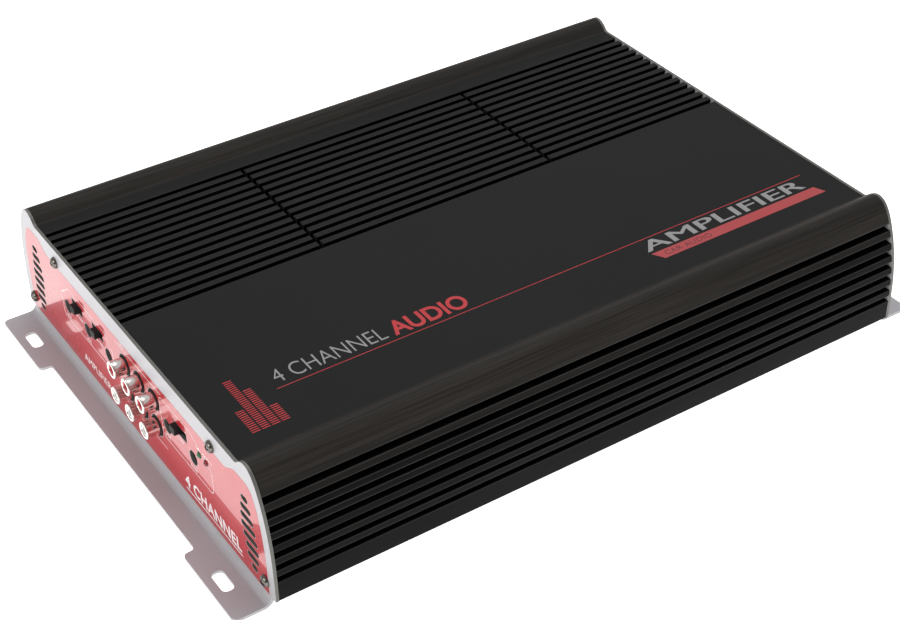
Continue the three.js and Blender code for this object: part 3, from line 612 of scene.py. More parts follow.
def over_the_shoulder(steps=10):
    """(inset, height) from the end of the leaning side over the crest to the flat top."""
    up = quadratic(SHOULDER, (10.96, CREST), (CREST_INSET, CREST), steps)
    down = quadratic((CREST_INSET, CREST), (20.1, CREST), STEP, steps)
    return [SHOULDER, *up, *down, (FLAT_INSET, TOP)]


print("side leans in", [round(side_inset(z), 2) for z in (12.7, 30, 51.6)], "mm")

# %% The whole section
SIDE_GROOVE = {"first": 11.8, "pitch": 6.19, "count": 7, "width": 2.9, "floor": 10.0}
TOP_GROOVE = {"count": 14, "pitch": 6.12, "width": 2.8, "depth": 4.2, "last_inset": 34.9}
WALL_INSET = 13.5
PLAIN_CEILING = 52.4
FIN_CEILING = 47.8
CEILING_CHAMFER = 8.0
COVER_GROOVE = (10.5, 1.8, 3.7)
BOARD_GROOVE = (11.0, 7.9, 9.9)
SCREW_AXES = [(s * (SIDE - inset), z) for s in (-1, 1) for inset, z in ((7.4, 6.6), (46.6, 49.0))]
PORT = 1.8
PORT_WALL = 4.2


def groove_y(i):
    return SIDE - TOP_GROOVE["last_inset"] - (TOP_GROOVE["count"] - 1 - i) * TOP_GROOVE["pitch"]


def grooved_side():
    """[inset, height, radius] corners up one outer side, from the foot to the flat top."""
    corners = [(0.0, 0.0, 0.8), (0.0, SIDE_GROOVE["first"] / 2, 0)]
    half = SIDE_GROOVE["width"] / 2
    for i in range(SIDE_GROOVE["count"]):
        low = SIDE_GROOVE["first"] + i * SIDE_GROOVE["pitch"] - half
        high = low + 2 * half
        corners += [(side_inset(low), low, 0.45), (SIDE_GROOVE["floor"], low, 0.3),
                    (SIDE_GROOVE["floor"], high, 0.3), (side_inset(high), high, 0.45)]
        rib = (high + low + SIDE_GROOVE["pitch"]) / 2
        if i < SIDE_GROOVE["count"] - 1:
            corners.append((side_inset(rib), rib, 0))
    return corners + [(inset, z, 0) for inset, z in over_the_shoulder()]


def grooved_top():
    """(y, height, radius) corners across the finned half of the top."""
    half = TOP_GROOVE["width"] / 2
    floor = TOP - TOP_GROOVE["depth"]
    corners = []
    for i in range(TOP_GROOVE["count"]):
        y = groove_y(i)
        corners += [(y - half, TOP, 0.3), (y - half, floor, 0.25), (y + half, floor, 0.25),
                    (y + half, TOP, 0.3)]
    return corners


def port_boss(y, ceiling, direction):
    """The half round rib under the roof that an upper screw bites into."""
    z = SCREW_AXES[1][1]
    dip = math.asin(min(1.0, max(-1.0, (ceiling - z) / PORT_WALL)))
    turns = [dip + (-math.pi - 2 * dip) * k / 10 for k in range(11)]
    made = [(y + PORT_WALL * math.cos(t), z + PORT_WALL * math.sin(t), 0) for t in turns]
    return made if direction < 0 else made[::-1]


def cavity_line():
    """Corners of the cavity from the rear foot over the ceiling to the front foot."""
    wall = SIDE - WALL_INSET
    step = groove_y(0) - TOP_GROOVE["width"] / 2 - 4.4
    rear = [(wall, 0.0, 0.3)]
    for inset, low, high in (COVER_GROOVE, BOARD_GROOVE):
        rear += [(wall, low, 0.1), (SIDE - inset, low, 0), (SIDE - inset, high, 0), (wall, high, 0.1)]
    rear += [(wall, FIN_CEILING - CEILING_CHAMFER, 1), (wall - CEILING_CHAMFER, FIN_CEILING, 1)]
    port = SIDE - 46.6
    across = port_boss(port, FIN_CEILING, -1)
    across += [(step, FIN_CEILING, 0.5), (step, PLAIN_CEILING, 0.5)]
    across += port_boss(-port, PLAIN_CEILING, -1)
    front = [(-wall + CEILING_CHAMFER, PLAIN_CEILING, 1), (-wall, PLAIN_CEILING - CEILING_CHAMFER, 1)]
    for inset, low, high in (BOARD_GROOVE, COVER_GROOVE):
        front += [(-wall, high, 0.1), (inset - SIDE, high, 0), (inset - SIDE, low, 0), (-wall, low, 0.1)]
    return rear + across + front + [(-wall, 0.0, 0.3)]


front_side = [(inset - SIDE, z, r) for inset, z, r in grooved_side()]
rear_side = [(SIDE - inset, z, r) for inset, z, r in reversed(grooved_side())]
section = rounded(front_side + grooved_top() + rear_side + cavity_line(), steps=2)
section = [Vector((p.x, p.y + UNDER)) for p in section]
ports = [circle(y, z + UNDER, PORT, 16) for y, z in SCREW_AXES]
print("section:", len(section), "points")

# %% [markdown]
# ## The extrusion
# The section is filled and drawn out along X, just as the die does it. Two cross grooves are then
# milled over the fins. A boolean takes them out with two bars whose upper edges flare, so that the
# cut has the small chamfer a cutter leaves. The narrow strips along the groove edges are marked in
# a face attribute, and the material makes them a touch lighter, as rubbed anodising is.

# %% Extrude and mill
CROSS_GROOVE_X = 63.8
CROSS_WIDTH = 1.8
CUT_PAST = 1.0
CUT_FLARE = 0.2

bm = bmesh.new()
slab(bm, [section, *ports], "x", -END, END)
cutter = bmesh.new()
for x in (-CROSS_GROOVE_X, CROSS_GROOVE_X):
    half = CROSS_WIDTH / 2
    floor = TOP + UNDER - TOP_GROOVE["depth"]
    rim = TOP + UNDER
    shape = [(x - half, floor), (x + half, floor), (x + half, rim - CUT_FLARE),
             (x + half + CUT_FLARE + CUT_PAST, rim + CUT_PAST),
             (x - half - CUT_FLARE - CUT_PAST, rim + CUT_PAST), (x - half, rim - CUT_FLARE)]
    ends = groove_y(0), groove_y(TOP_GROOVE["count"] - 1)
    slab(cutter, [[Vector(p) for p in shape]], "y", ends[0], ends[1])
bm = carved(bm, cutter)
edge_mark = bm.faces.layers.float.new("edge")
groove_shade_mark = bm.faces.layers.float.new("groove")
STRIP = 0.5
SKIN = 0.35
LENGTHWISE = 0.9


def in_a_groove(face):
    """Whether the middle of the face lies in a cooling groove, below the outer skin."""
    middle = face.calc_center_median()
    inset, z = SIDE - abs(middle.y), middle.z - UNDER
    first = groove_y(0) - TOP_GROOVE["width"]
    last = groove_y(TOP_GROOVE["count"] - 1) + TOP_GROOVE["width"]
    on_top_half = first < middle.y < last and TOP - TOP_GROOVE["depth"] - SKIN < z < TOP - SKIN
    skin_inset = side_inset(min(z, SHOULDER[1])) + SKIN
    on_a_side = skin_inset < inset < SIDE_GROOVE["floor"] + SKIN and z < SHOULDER[1]
    return abs(face.normal.x) < LENGTHWISE and (on_top_half or on_a_side)


def is_a_strip(face):
    """Whether the face is one of the narrow strips along an edge of the section."""
    shortest = min(e.calc_length() for e in face.edges)
    return len(face.verts) == 4 and shortest < STRIP and face.normal.x ** 2 < 0.5


# Groove faces carry the mark for the painted groove shade; narrow edge strips carry the mark for rubbed
# wear.
for face in bm.faces:
    face[edge_mark] = float(is_a_strip(face))
    face[groove_shade_mark] = float(in_a_groove(face))
keep("heatsink_extrusion", bm, anodised, replaces=["heatsink"])

# %% [markdown]
# ## End plates as bent sheet
# A pressed plate starts as a flat blank: outline, holes and slots are punched while it is flat,
# and one bend turns its lower strip out into the foot. The model is made the same way. The blank
# is filled flat, cut by lines where it bends, and each point is then moved onto the bent path.
# The sheet gets its thickness last, so that it is even round the bend.

# %% The blank and the bend
SHEET = 1.5
BEND = 3.6
BEND_TOP = -0.1
BEND_LENGTH = BEND * math.pi / 2
BEND_REACH = SHEET + BEND
EAR_REACH = 18.8
STRIP_REACH = 13.0
FOOT_HALF = SIDE - 3.9
EAR_INNER = SIDE - 49.5
EAR_SLOT = {"reach": 12.0, "inset": 26.5, "length": 13.0, "width": 5.6}
VENT_HEIGHT = 3.0
VENT_ROWS = [(5.9, 14.4, 19.2), (10.8, 12.4, 22.0), (15.8, 11.8, 22.6), (20.85, 12.2, 23.8),
             (25.9, 12.9, 24.8), (30.95, 14.0, 24.6), (36.0, 15.2, 23.8), (41.05, 16.9, 22.4)]


def foot_v(reach):
    """Where a point of the foot, this far out from the heatsink, lies on the flat blank."""
    return BEND_TOP - BEND_LENGTH - (reach - BEND_REACH)


def side_line(bottom, steps=10):
    """(inset, height) up the plain side curve from the given height to the flat top."""
    heights = [bottom, SIDE_STRAIGHT]
    rise = SHOULDER[1] - SIDE_STRAIGHT
    heights += [SIDE_STRAIGHT + rise * k / steps for k in range(1, steps)]
    return [(side_inset(z), z) for z in heights] + over_the_shoulder()


def slot_outline(a0, a1, b, width, steps=8):
    """A slot with round ends between a0 and a1."""
    r = width / 2
    low, high = min(a0, a1) + r, max(a0, a1) - r
    left = [(low + r * math.cos(t), b + r * math.sin(t))
            for t in (math.pi / 2 + math.pi * k / steps for k in range(steps + 1))]
    right = [(high + r * math.cos(t), b + r * math.sin(t))
             for t in (-math.pi / 2 + math.pi * k / steps for k in range(steps + 1))]
    return [Vector(p) for p in left + right]


def vent_outlines(grow=0.0):
    made = []
    for s in (-1, 1):
        for z, outer, inner in VENT_ROWS:
            made.append(slot_outline(s * (SIDE - outer + grow), s * (SIDE - inner - grow), z,
                                     VENT_HEIGHT + 2 * grow))
    return made


def blank_outline():
    strip, ear = foot_v(STRIP_REACH), foot_v(EAR_REACH)
    half = [(EAR_INNER, strip, 2.2), (EAR_INNER, ear, 3.2), (FOOT_HALF, ear, 3.2),
            (FOOT_HALF, BEND_TOP, 0.4), (SIDE, BEND_TOP, 0.4)]
    half += [(SIDE - inset, z, 0) for inset, z in side_line(BEND_TOP)[1:]]
    mirrored = [(-y, v, r) for y, v, r in reversed(half)]
    return rounded(half + mirrored, steps=5)


def ear_slots():
    made = []
    length, width = EAR_SLOT["length"], EAR_SLOT["width"]
    for s in (-1, 1):
        y = s * (SIDE - EAR_SLOT["inset"])
        made.append(rectangle(y, foot_v(EAR_SLOT["reach"]), length, width, width / 2.05, 6))
    return made


def bent_plate(side, openings):
    """The finished plate of one end; side is -1 for the input end and 1 for the output end."""
    bm = bmesh.new()
    holes = [*openings, *vent_outlines(), *ear_slots(), *(circle(y, z, PORT, 20) for y, z in SCREW_AXES)]
    filled(bm, [blank_outline(), *holes], place_on("x", 0.0), merge=False)
    bend_lines = 10
    for k in range(bend_lines + 1):
        v = BEND_TOP - BEND_LENGTH * k / bend_lines
        bmesh.ops.bisect_plane(bm, geom=[*bm.verts, *bm.edges, *bm.faces], plane_co=(0, 0, v),
                               plane_no=(0, 0, 1), dist=1e-4)
    for vert in bm.verts:
        v = vert.co.z
        reach, height = SHEET, v
        if v < BEND_TOP:
            angle = min((BEND_TOP - v) / BEND, math.pi / 2)
            past = max(BEND_TOP - v - BEND_LENGTH, 0)
            reach = BEND_REACH - BEND * math.cos(angle) + past
            height = BEND_TOP - BEND * math.sin(angle)
        vert.co = (side * (END + reach), vert.co.y, height + UNDER)
    bmesh.ops.dissolve_limit(bm, angle_limit=FLAT, edges=bm.edges, verts=bm.verts)
    bmesh.ops.recalc_face_normals(bm, faces=bm.faces)
    face = max(bm.faces, key=lambda f: f.calc_area())
    if face.normal.x * side < 0:
        bmesh.ops.reverse_faces(bm, faces=bm.faces)
    bmesh.ops.solidify(bm, geom=bm.faces, thickness=SHEET)
    softened(bm, 0.22, 2, 50)
    # Upright rim faces and hole walls get the mark that turns them darker.
    dark_rim = bm.faces.layers.float.new("dark_rim")
    for face in bm.faces:
        upright = face.calc_center_median().z > UNDER + BEND_TOP
        face[dark_rim] = 1.0 if upright and abs(face.normal.x) < 0.3 else 0.0
    return bm


print("blank reaches from", round(foot_v(EAR_REACH), 2), "to", CREST, "mm")

# %% [markdown]
# ## Openings of the two plates
# Every opening is drawn from the part that shows through it, so the hole is always round its part
# with the same play. The frame gives each part's box, and the middle of that box is the axis.

# %% Openings
COLLAR = 4.9
GAP = 0.3
RUN = 0.2
TRIMMER_HOLE = 3.5
WINDOW = (11.2, 5.0)
ROWS = [f"{row}_{column}" for row in ("upper", "lower") for column in WORDS[:3]]


def axis_of(node_name):
    """(y, height above the heatsink's underside) of a part that faces an end plate."""
    middle = middle_of(node_name)
    return middle.y, middle.z - UNDER


phono_axes = {place: axis_of(f"phono_sleeve_{place}") for place in ROWS}
trimmer_axes = [axis_of(f"trimmer_rotor_{w}") for w in WORDS[:5]]
switch_axes = [axis_of(f"switch_housing_{w}") for w in WORDS[:3]]
lamp_axes = [axis_of("power_lamp"), axis_of("protect_lamp")]


def input_openings(grow=0.0):
    made = [circle(y, z, COLLAR + GAP + grow, 40) for y, z in phono_axes.values()]
    made += [circle(y, z, TRIMMER_HOLE + grow, 32) for y, z in trimmer_axes]
    made += [circle(y, z, 1.7 + grow, 20) for y, z in lamp_axes]
    made += [rectangle(y, z, WINDOW[0] + 2 * grow, WINDOW[1] + 2 * grow, 0.5) for y, z in switch_axes]
    return made


def nose_outline(node_name):
    """The cut-out round the nose of a block: one millimetre smaller than the block, plus play."""
    low, high = edges_of(node_name)
    width = high.y - low.y - 2 + 2 * GAP
    height = high.z - low.z - 2 + 2 * GAP
    middle = (low + high) / 2
    return rectangle(middle.y, middle.z - UNDER, width, height, 0.5)


OUTPUT_BLOCKS = ["power_terminal_block", "speaker_terminal_block", "fuse_holder"]
keep("input_plate", bent_plate(-1, input_openings()), powder_coat,
     replaces=["input_end_plate"])
keep("output_plate", bent_plate(1, [nose_outline(n) for n in OUTPUT_BLOCKS]), powder_coat,
     replaces=["output_end_plate"])

# %% [markdown]
# ## The red print on the input plate
# The input plate is screen printed with a glossy red field that leaves a silver border. Ink has a
# thickness of its own, so it is modelled as a film, a few hundredths of a millimetre high, with
# the plate's holes punched through it. That keeps its edge sharp from any distance, which a
# painted mask would not.

# %% Red field
FACE_X = -(END + SHEET)
INK = 0.05
FIELD_INSET = 8.0
FIELD_LOW = 0.2
FIELD_TOP = 46.6
FIELD_HUMP = 51.2


def field_outline():
    """The printed field: level along the top, with an S up to each shoulder."""
    flank = [(max(side_inset(z), 0) + FIELD_INSET - 2.6, z) for z in (FIELD_LOW, 14.0, 24.0, 34.0, 42.0)]
    half = [(SIDE - inset, z, 0) for inset, z in flank]
    half += [(SIDE - 13.5, FIELD_HUMP, 7.0), (SIDE - 27.0, FIELD_HUMP, 5.0), (SIDE - 35.0, FIELD_TOP, 6.0)]
    mirrored = [(-y, z, r) for y, z, r in reversed(half)]
    return rounded(half + mirrored, steps=6)


def film(bm, outlines, low, high):
    """A film of ink on the face of the input plate, low and high above the face."""
    lifted = [[Vector((p[0], p[1] + UNDER)) for p in points] for points in outlines]
    slab(bm, lifted, "x", FACE_X - low, FACE_X - high)


bm = bmesh.new()
film(bm, [field_outline(), *input_openings(0.25), *vent_outlines(0.25)], -0.01, INK)
keep("input_plate_field", bm, red_gloss_ink)

# %% [markdown]
# ## Lettering and lines
# The words are plain labels for what each control does. A text object gives the letters, and it
# is made a mesh before it is placed, because an object that carries a place of its own would
# shift when the model is exported. Bold words are the same font, grown a little outwards, or a
# few copies laid a hair apart where growing would make a letter's strokes cross.

# %% Words and strokes
def word(bm, text, size, matrix, bold=0.0, spacing=1.0, thick=0.04, shear=0.0, width=None):
    """Adds the word to the bmesh, standing on the matrix's origin, in millimetres."""
    curve = bpy.data.curves.new("word", "FONT")
    curve.body = text
    curve.size = size
    curve.extrude = thick / 2
    curve.offset = bold
    curve.space_character = spacing
    curve.shear = shear
    curve.resolution_u = 6
    holder = bpy.data.objects.new("word", curve)
    bpy.context.scene.collection.objects.link(holder)
    bpy.context.view_layer.update()
    mesh = bpy.data.meshes.new_from_object(holder.evaluated_get(bpy.context.evaluated_depsgraph_get()))
    if width:
        spread = max(v.co.x for v in mesh.vertices)
        mesh.transform(Matrix.Diagonal((width / spread, 1, 1, 1)))
    mesh.transform(matrix)
    bm.from_mesh(mesh)
    bpy.data.meshes.remove(mesh)
    bpy.data.objects.remove(holder)


def on_panel(y, z, height):
    """Letters on the input plate's face run towards -Y and stand up along Z."""
    basis = Matrix(((0, 0, -1), (-1, 0, 0), (0, 1, 0))).to_4x4()
    return Matrix.Translation((FACE_X - height, y, z + UNDER)) @ basis


def stroke(bm, points, width, low, high, closed=False):
    """A line of ink of even width along the points on the input plate."""
    line = [Vector(p) for p in points]
    count = len(line)
    left, right = [], []
    for i, p in enumerate(line):
        before = line[i - 1] if closed or i > 0 else p
        after = line[(i + 1) % count] if closed or i < count - 1 else p
        ahead = (after - before).normalized()
        across = Vector((-ahead.y, ahead.x)) * width / 2
        left.append(p + across)
        right.append(p - across)
    if closed:
        outer, inner = (left, right) if area(left) > area(right) else (right, left)
        film(bm, [outer, inner], low, high)
    else:
        film(bm, [left + right[::-1]], low, high)


def area(points):
    """The area inside a closed outline."""
    return abs(sum(a.x * b.y - b.x * a.y for a, b in zip(points, points[1:] + points[:1]))) / 2


bm = bmesh.new()
MARK_LOW, MARK_HIGH = INK - 0.01, INK + 0.03
LINE = 0.32
REAR_FRAME = {"low": 21.2, "shelf": 34.0, "top": 40.5}
FRONT_FRAME = {"low": 20.6, "shelf": 33.0, "top": 42.2, "slant": -58.0}
FRAME_CORNER = 3
SOCKET_RULES = {"heights": (13.6, 43.6), "past": 8.2}


def panel_frame(levels, corners):
    """A thin closed line with rounded corners; each corner is a place and the name of its level."""
    drawn = rounded([(y, levels[level], FRAME_CORNER) for y, level in corners], 5)
    stroke(bm, drawn, LINE, MARK_LOW, MARK_HIGH, closed=True)


left, right = trimmer_axes[0][0] + 5.8, trimmer_axes[2][0] - 5.6
tab_left, tab_right = switch_axes[0][0] + 9.0, switch_axes[1][0] - 8.0
panel_frame(REAR_FRAME, [(left, "low"), (right, "low"), (right, "shelf"), (tab_right, "top"),
                         (tab_left, "top"), (left, "shelf")])
left = phono_axes["upper_one"][0] + SOCKET_RULES["past"]
right = phono_axes["upper_three"][0] - SOCKET_RULES["past"]
for z in SOCKET_RULES["heights"]:
    stroke(bm, [(left, z), (right, z)], LINE, MARK_LOW, MARK_HIGH)
left, right = trimmer_axes[3][0] + 5.4, lamp_axes[1][0] - 4.4
panel_frame(FRONT_FRAME, [(left, "low"), (right, "low"), (right, "shelf"), (FRONT_FRAME["slant"], "top"),
                          (left, "top")])
TICK = {"count": 11, "first": -225, "turn": 27, "inner": 4.1, "outer": 4.8, "width": 0.22}
for y, z in trimmer_axes:
    for k in range(TICK["count"]):
        t = math.radians(TICK["first"] + TICK["turn"] * k)
        tick = [(y + TICK[end] * math.cos(t), z + TICK[end] * math.sin(t)) for end in ("inner", "outer")]
        stroke(bm, tick, TICK["width"], MARK_LOW, MARK_HIGH)
LABELS = [("LEVEL", 72.6, 22.4), ("LOW PASS", 62.0, 29.6), ("LEVEL", 50.4, 22.4), ("HIGH PASS", 40.4, 29.6),
          ("BASS", 27.4, 22.9), ("INPUT", 11.0, 44.6), ("FRONT", 6.8, 9.9), ("REAR", -10.4, 9.9),
          ("LEVEL", -30.6, 22.4), ("MODE", -44.0, 30.0), ("FILTER", -54.4, 22.0), ("ON", -62.2, 37.4),
          ("PROTECT", -67.6, 37.4)]
for text, y, z in LABELS:
    word(bm, text, 2.0, on_panel(y, z, MARK_LOW + 0.02), bold=0.02, spacing=1.05)
for k in range(3):
    shifted = on_panel(58.1 - 0.1 * k, 5.6, MARK_LOW + 0.02 + 0.004 * k)
    word(bm, "AMPLIFIER", 6.0, shifted, spacing=1.08)
word(bm, "4 CHANNEL", 9.0, on_panel(-46.0, 5.6, MARK_LOW + 0.02), bold=0.22, spacing=1.04)
stroke(bm, [(-46.0, 3.8), (-97.0, 3.8)], 0.7, MARK_LOW, MARK_HIGH)
keep("input_plate_marks", bm, white_ink, turn_out=False)

# %% [markdown]
# ## The print on the top
# The plain half of the top carries a level meter, a name line over a long thin rule, and a bar
# with a slanted end. The meter is a stack of fine hatch lines in four columns.

# %% Top print
def on_top(x, y, height=0.02):
    return Matrix.Translation((x, y, TOP + UNDER + height))


def ink_strip(bm, corners, low=-0.01, high=0.04):
    slab(bm, [[Vector(c) for c in corners]], "z", TOP + UNDER + low, TOP + UNDER + high)


LEFT, FRONT = -END, -SIDE
bm = bmesh.new()
METER = {"x": LEFT + 12.6, "y": FRONT + 36.0, "column": 3.7, "gap": 0.8, "heights": [17, 36, 27, 12]}
HATCH = {"pitch": 1.32, "line": 0.55}
for column, height in enumerate(METER["heights"]):
    x = METER["x"] + column * (METER["column"] + METER["gap"])
    for k in range(int(height / HATCH["pitch"])):
        y = METER["y"] + k * HATCH["pitch"]
        ink_strip(bm, [(x, y), (x + METER["column"], y), (x + METER["column"], y + HATCH["line"]),
                       (x, y + HATCH["line"])])
RULE_Y = FRONT + 55.0
ink_strip(bm, [(LEFT + 34, RULE_Y - 0.2), (LEFT + 318, RULE_Y - 0.2), (LEFT + 318, RULE_Y + 0.2),
               (LEFT + 34, RULE_Y + 0.2)])
word(bm, "AUDIO", 13.5, on_top(LEFT + 93.5, FRONT + 58.0), bold=0.35, spacing=1.0, width=38.0)
keep("top_print_red", bm, red_ink, turn_out=False)

bm = bmesh.new()
word(bm, "4 CHANNEL", 13.0, on_top(LEFT + 36.0, FRONT + 58.2), bold=-0.12, spacing=1.0, width=54.0)
for k in range(4):
    shifted = on_top(LEFT + 218.7 + 0.22 * k, FRONT + 45.3, 0.02 + 0.006 * k)
    word(bm, "AMPLIFIER", 11.4, shifted, spacing=1.02, width=94.0)
keep("top_print_grey", bm, grey_ink, turn_out=False)

bm = bmesh.new()
ink_strip(bm, [(LEFT + 222.5, FRONT + 37.6), (LEFT + 318.5, FRONT + 37.6), (LEFT + 316.0, FRONT + 43.6),
               (LEFT + 219.0, FRONT + 43.6)])
keep("top_print_bar", bm, dull_red_ink, turn_out=False)

bm = bmesh.new()
word(bm, "CAR AUDIO", 4.6, on_top(LEFT + 224.5, FRONT + 39.1, 0.05), bold=0.08, spacing=1.1)
keep("top_print_bar_words", bm, dark_red_ink, turn_out=False)

# %% [markdown]
# ## Pan-head screws
# Eight dark nickel screws hold the plates. A pan head is a low dome with a rolled rim, so its
# profile is turned. The cross recess is cut by two tapered bars, as the punch leaves it, and the
# threaded shank is a turned zigzag, which at this size reads as a thread.

# %% Screws
SCREW = {"shank": 1.5, "core": 1.2, "head": 2.8, "height": 2.2, "length": 10.0, "pitch": 0.7}
ORIGIN = (0, 0, 0)


def thread(shank, core, length, pitch):
    """The profile of a threaded shank below a head, from its tip up."""
    made = [(0.0, -length), (core * 0.6, -length)]
    for k in range(int((length - 1) / pitch)):
        made += [(core, k * pitch + 0.4 - length), (shank, (k + 0.5) * pitch + 0.4 - length)]
    return made


def pan_head():
    r, h = SCREW["head"], SCREW["height"]
    shape = [(0.9625, 0.0), (1.0, 0.06), (1.0, 0.23), (0.96, 0.38), (0.86, 0.64), (0.7, 0.83), (0.45, 0.95),
             (0.2, 0.995), (0.0, 1.0)]
    return [(SCREW["shank"], -0.3), (SCREW["shank"], 0.0), *((r * a, h * b) for a, b in shape)]


def cross_recess(centre, outward):
    """Two tapered bars that cross, from inside the head to past its top."""
    deep, high = 0.3 * SCREW["height"], SCREW["height"] + 0.6
    turn = Vector(outward).to_track_quat("Z", "Y").to_matrix().to_4x4()
    middle = Matrix.Translation(Vector(centre) + Vector(outward) * (deep + high) / 2)
    cross = bmesh.new()
    for long, short in ((1.9, 0.42), (0.42, 1.9)):
        made = bmesh.ops.create_cone(cross, cap_ends=True, segments=4, radius1=0.9, radius2=math.sqrt(2),
                                     depth=high - deep)["verts"]
        square = Matrix.Diagonal((long, short, 1, 1)) @ Matrix.Rotation(math.pi / 4, 4, "Z")
        bmesh.ops.transform(cross, matrix=middle @ turn @ square, verts=made)
    return cross


def pan_screw(centre, outward):
    """A screw that is cut first and moved into place after, so that all eight come out alike."""
    bm = bmesh.new()
    profile = thread(SCREW["shank"], SCREW["core"], SCREW["length"], SCREW["pitch"]) + pan_head()
    turned(bm, profile, ORIGIN, outward, 36)
    screw = carved(bm, cross_recess(ORIGIN, outward), crossing=True)
    bmesh.ops.translate(screw, vec=centre, verts=screw.verts)
    return screw


for end, side in (("input", -1), ("output", 1)):
    for w in WORDS[:4]:
        node_name = f"{end}_plate_screw_{w}"
        y, z = axis_of(node_name)
        bm = pan_screw((side * (END + SHEET), y, z + UNDER), (side, 0, 0))
        keep(f"pan_screw_{end}_{w}", bm, dark_nickel, replaces=[node_name])

# %% [markdown]
# ## Phono sockets
# A phono socket is three parts on one axis: a nickel shell with a rolled mouth, a coloured
# insulator inside it, and a springy contact in the middle of that. All three are turned. The
# plastic housing behind the plate carries one collar for each shell.

# %% Socket profiles
SHELL = {"radius": 4.15, "barrel": 3.95, "bore": 3.25, "lip": 2.75, "reach": 8.3, "depth": 8.0}
PIN_HOLE = 1.65


def shell_profile():
    r, barrel, reach = SHELL["radius"], SHELL["barrel"], SHELL["reach"]
    bore, lip = SHELL["bore"], SHELL["lip"]
    return [(bore, -SHELL["depth"]), (barrel, -SHELL["depth"]), (barrel, reach - 1.15),
            (r - 0.04, reach - 1.0), (r, reach - 0.85), (r, reach - 0.45), (r - 0.08, reach - 0.2),
            (r - 0.28, reach - 0.05), (r - 0.5, reach), (lip + 0.35, reach),
            (lip + 0.12, reach - 0.07), (lip, reach - 0.25),
            (lip, reach - 1.0), (lip + 0.2, reach - 1.25), (bore, reach - 1.45)]


def insulator_profile():
    reach, outer, neck = SHELL["reach"], SHELL["bore"] - 0.2, SHELL["lip"] - 0.15
    back = 0.3 - SHELL["depth"]
    return [(0.0, back), (outer, back), (outer, reach - 1.85), (neck, reach - 1.6), (neck, reach - 0.55),
            (neck - 0.15, reach - 0.4), (PIN_HOLE + 0.3, reach - 0.4), (PIN_HOLE, reach - 0.7),
            (PIN_HOLE, reach - 9.0), (0.0, reach - 9.0)]


def contact_profile():
    mouth, root = SHELL["reach"] - 1.6, SHELL["reach"] - 8.9
    return [(0.0, root), (1.35, root), (1.35, mouth - 2.6), (1.2, mouth - 1.6), (1.42, mouth),
            (1.28, mouth + 0.08), (1.05, mouth - 1.5), (1.1, mouth - 2.8), (1.1, root + 0.6),
            (0.0, root + 0.6)]


# %% Socket shells, insulators and contacts
for place, (y, z) in phono_axes.items():
    centre, outward = (-END, y, z + UNDER), (-1, 0, 0)
    bm = bmesh.new()
    turned(bm, shell_profile(), centre, outward, 56, closed=True)
    keep(f"socket_shell_{place}", bm, bright_nickel, replaces=[f"phono_sleeve_{place}"])
    bm = bmesh.new()
    turned(bm, insulator_profile(), centre, outward, 48)
    colour, slot_name = white_plastic, "white_plastic"
    if place.startswith("upper"):
        colour, slot_name = red_plastic, "red_plastic"
    keep(f"socket_core_{place}", bm, colour, replaces=[f"phono_insulator_{place}"])
    bm = bmesh.new()
    turned(bm, contact_profile(), centre, outward, 24)
    keep(f"socket_contact_{place}", bm, tinned)

# %% Socket housing
COLLAR_PROUD = 0.5
low, high = edges_of("phono_block")
bm = bmesh.new()
block(bm, (-END + GAP, low.y, low.z), high, 0.5, 3)
bores = bmesh.new()
bore_radius = SHELL["radius"] + RUN
floor_x = -END + SHELL["depth"] + GAP
bore = [(0, 0), (bore_radius, 0), (bore_radius, 30), (0, 30)]
for y, z in phono_axes.values():
    turned(bores, bore, (floor_x, y, z + UNDER), (-1, 0, 0), 40)
bm = carved(bm, bores)
front = SHEET + COLLAR_PROUD
for y, z in phono_axes.values():
    ring = [(bore_radius, -2.0), (COLLAR, -2.0), (COLLAR, front - 0.35), (COLLAR - 0.1, front - 0.1),
            (COLLAR - 0.35, front), (bore_radius + 0.2, front), (bore_radius, front - 0.2)]
    turned(bm, ring, (-END, y, z + UNDER), (-1, 0, 0), 48, closed=True)
keep("socket_housing", bm, black_plastic, replaces=["phono_block"])

# %% [markdown]
# ## Trimmers, switches and lamps
# The trimmers are set with a small screwdriver through round holes, so each wheel has a slot and
# a notch that points to its setting. The switch tabs slide in a window, and ribs across the tab
# give a fingertip grip. The housings only need rounded edges, so copies of them are refined.

# %% Trimmers
ROTOR = 2.6
for w, (y, z) in zip(WORDS, trimmer_axes):
    node_name = f"trimmer_rotor_{w}"
    low, high = edges_of(node_name)
    depth = high.x - low.x
    profile = [(0.0, -depth), (ROTOR - 0.2, -depth), (ROTOR, 0.2 - depth), (ROTOR, -0.3),
               (ROTOR - 0.08, -0.1), (ROTOR - 0.3, 0.0), (0.0, 0.0)]
    bm = bmesh.new()
    turned(bm, profile, (low.x, y, z + UNDER), (-1, 0, 0), 40)
    cuts = bmesh.new()
    block(cuts, (low.x - 1, y - 0.4, z + UNDER - 3), (low.x + 1, y + 0.4, z + UNDER + 3))
    block(cuts, (low.x - 1, y + 1.1, z + UNDER - 0.3), (low.x + 0.4, y + 3, z + UNDER + 0.3))
    bm = carved(bm, cuts)
    softened(bm, 0.06, 1, 50)
    keep(f"trimmer_wheel_{w}", bm, black_plastic, body=node_name,
         replaces=[node_name])
    keep(f"trimmer_case_{w}", refined(f"trimmer_body_{w}", 0.25, 2, 60), black_plastic,
         replaces=[f"trimmer_body_{w}"])

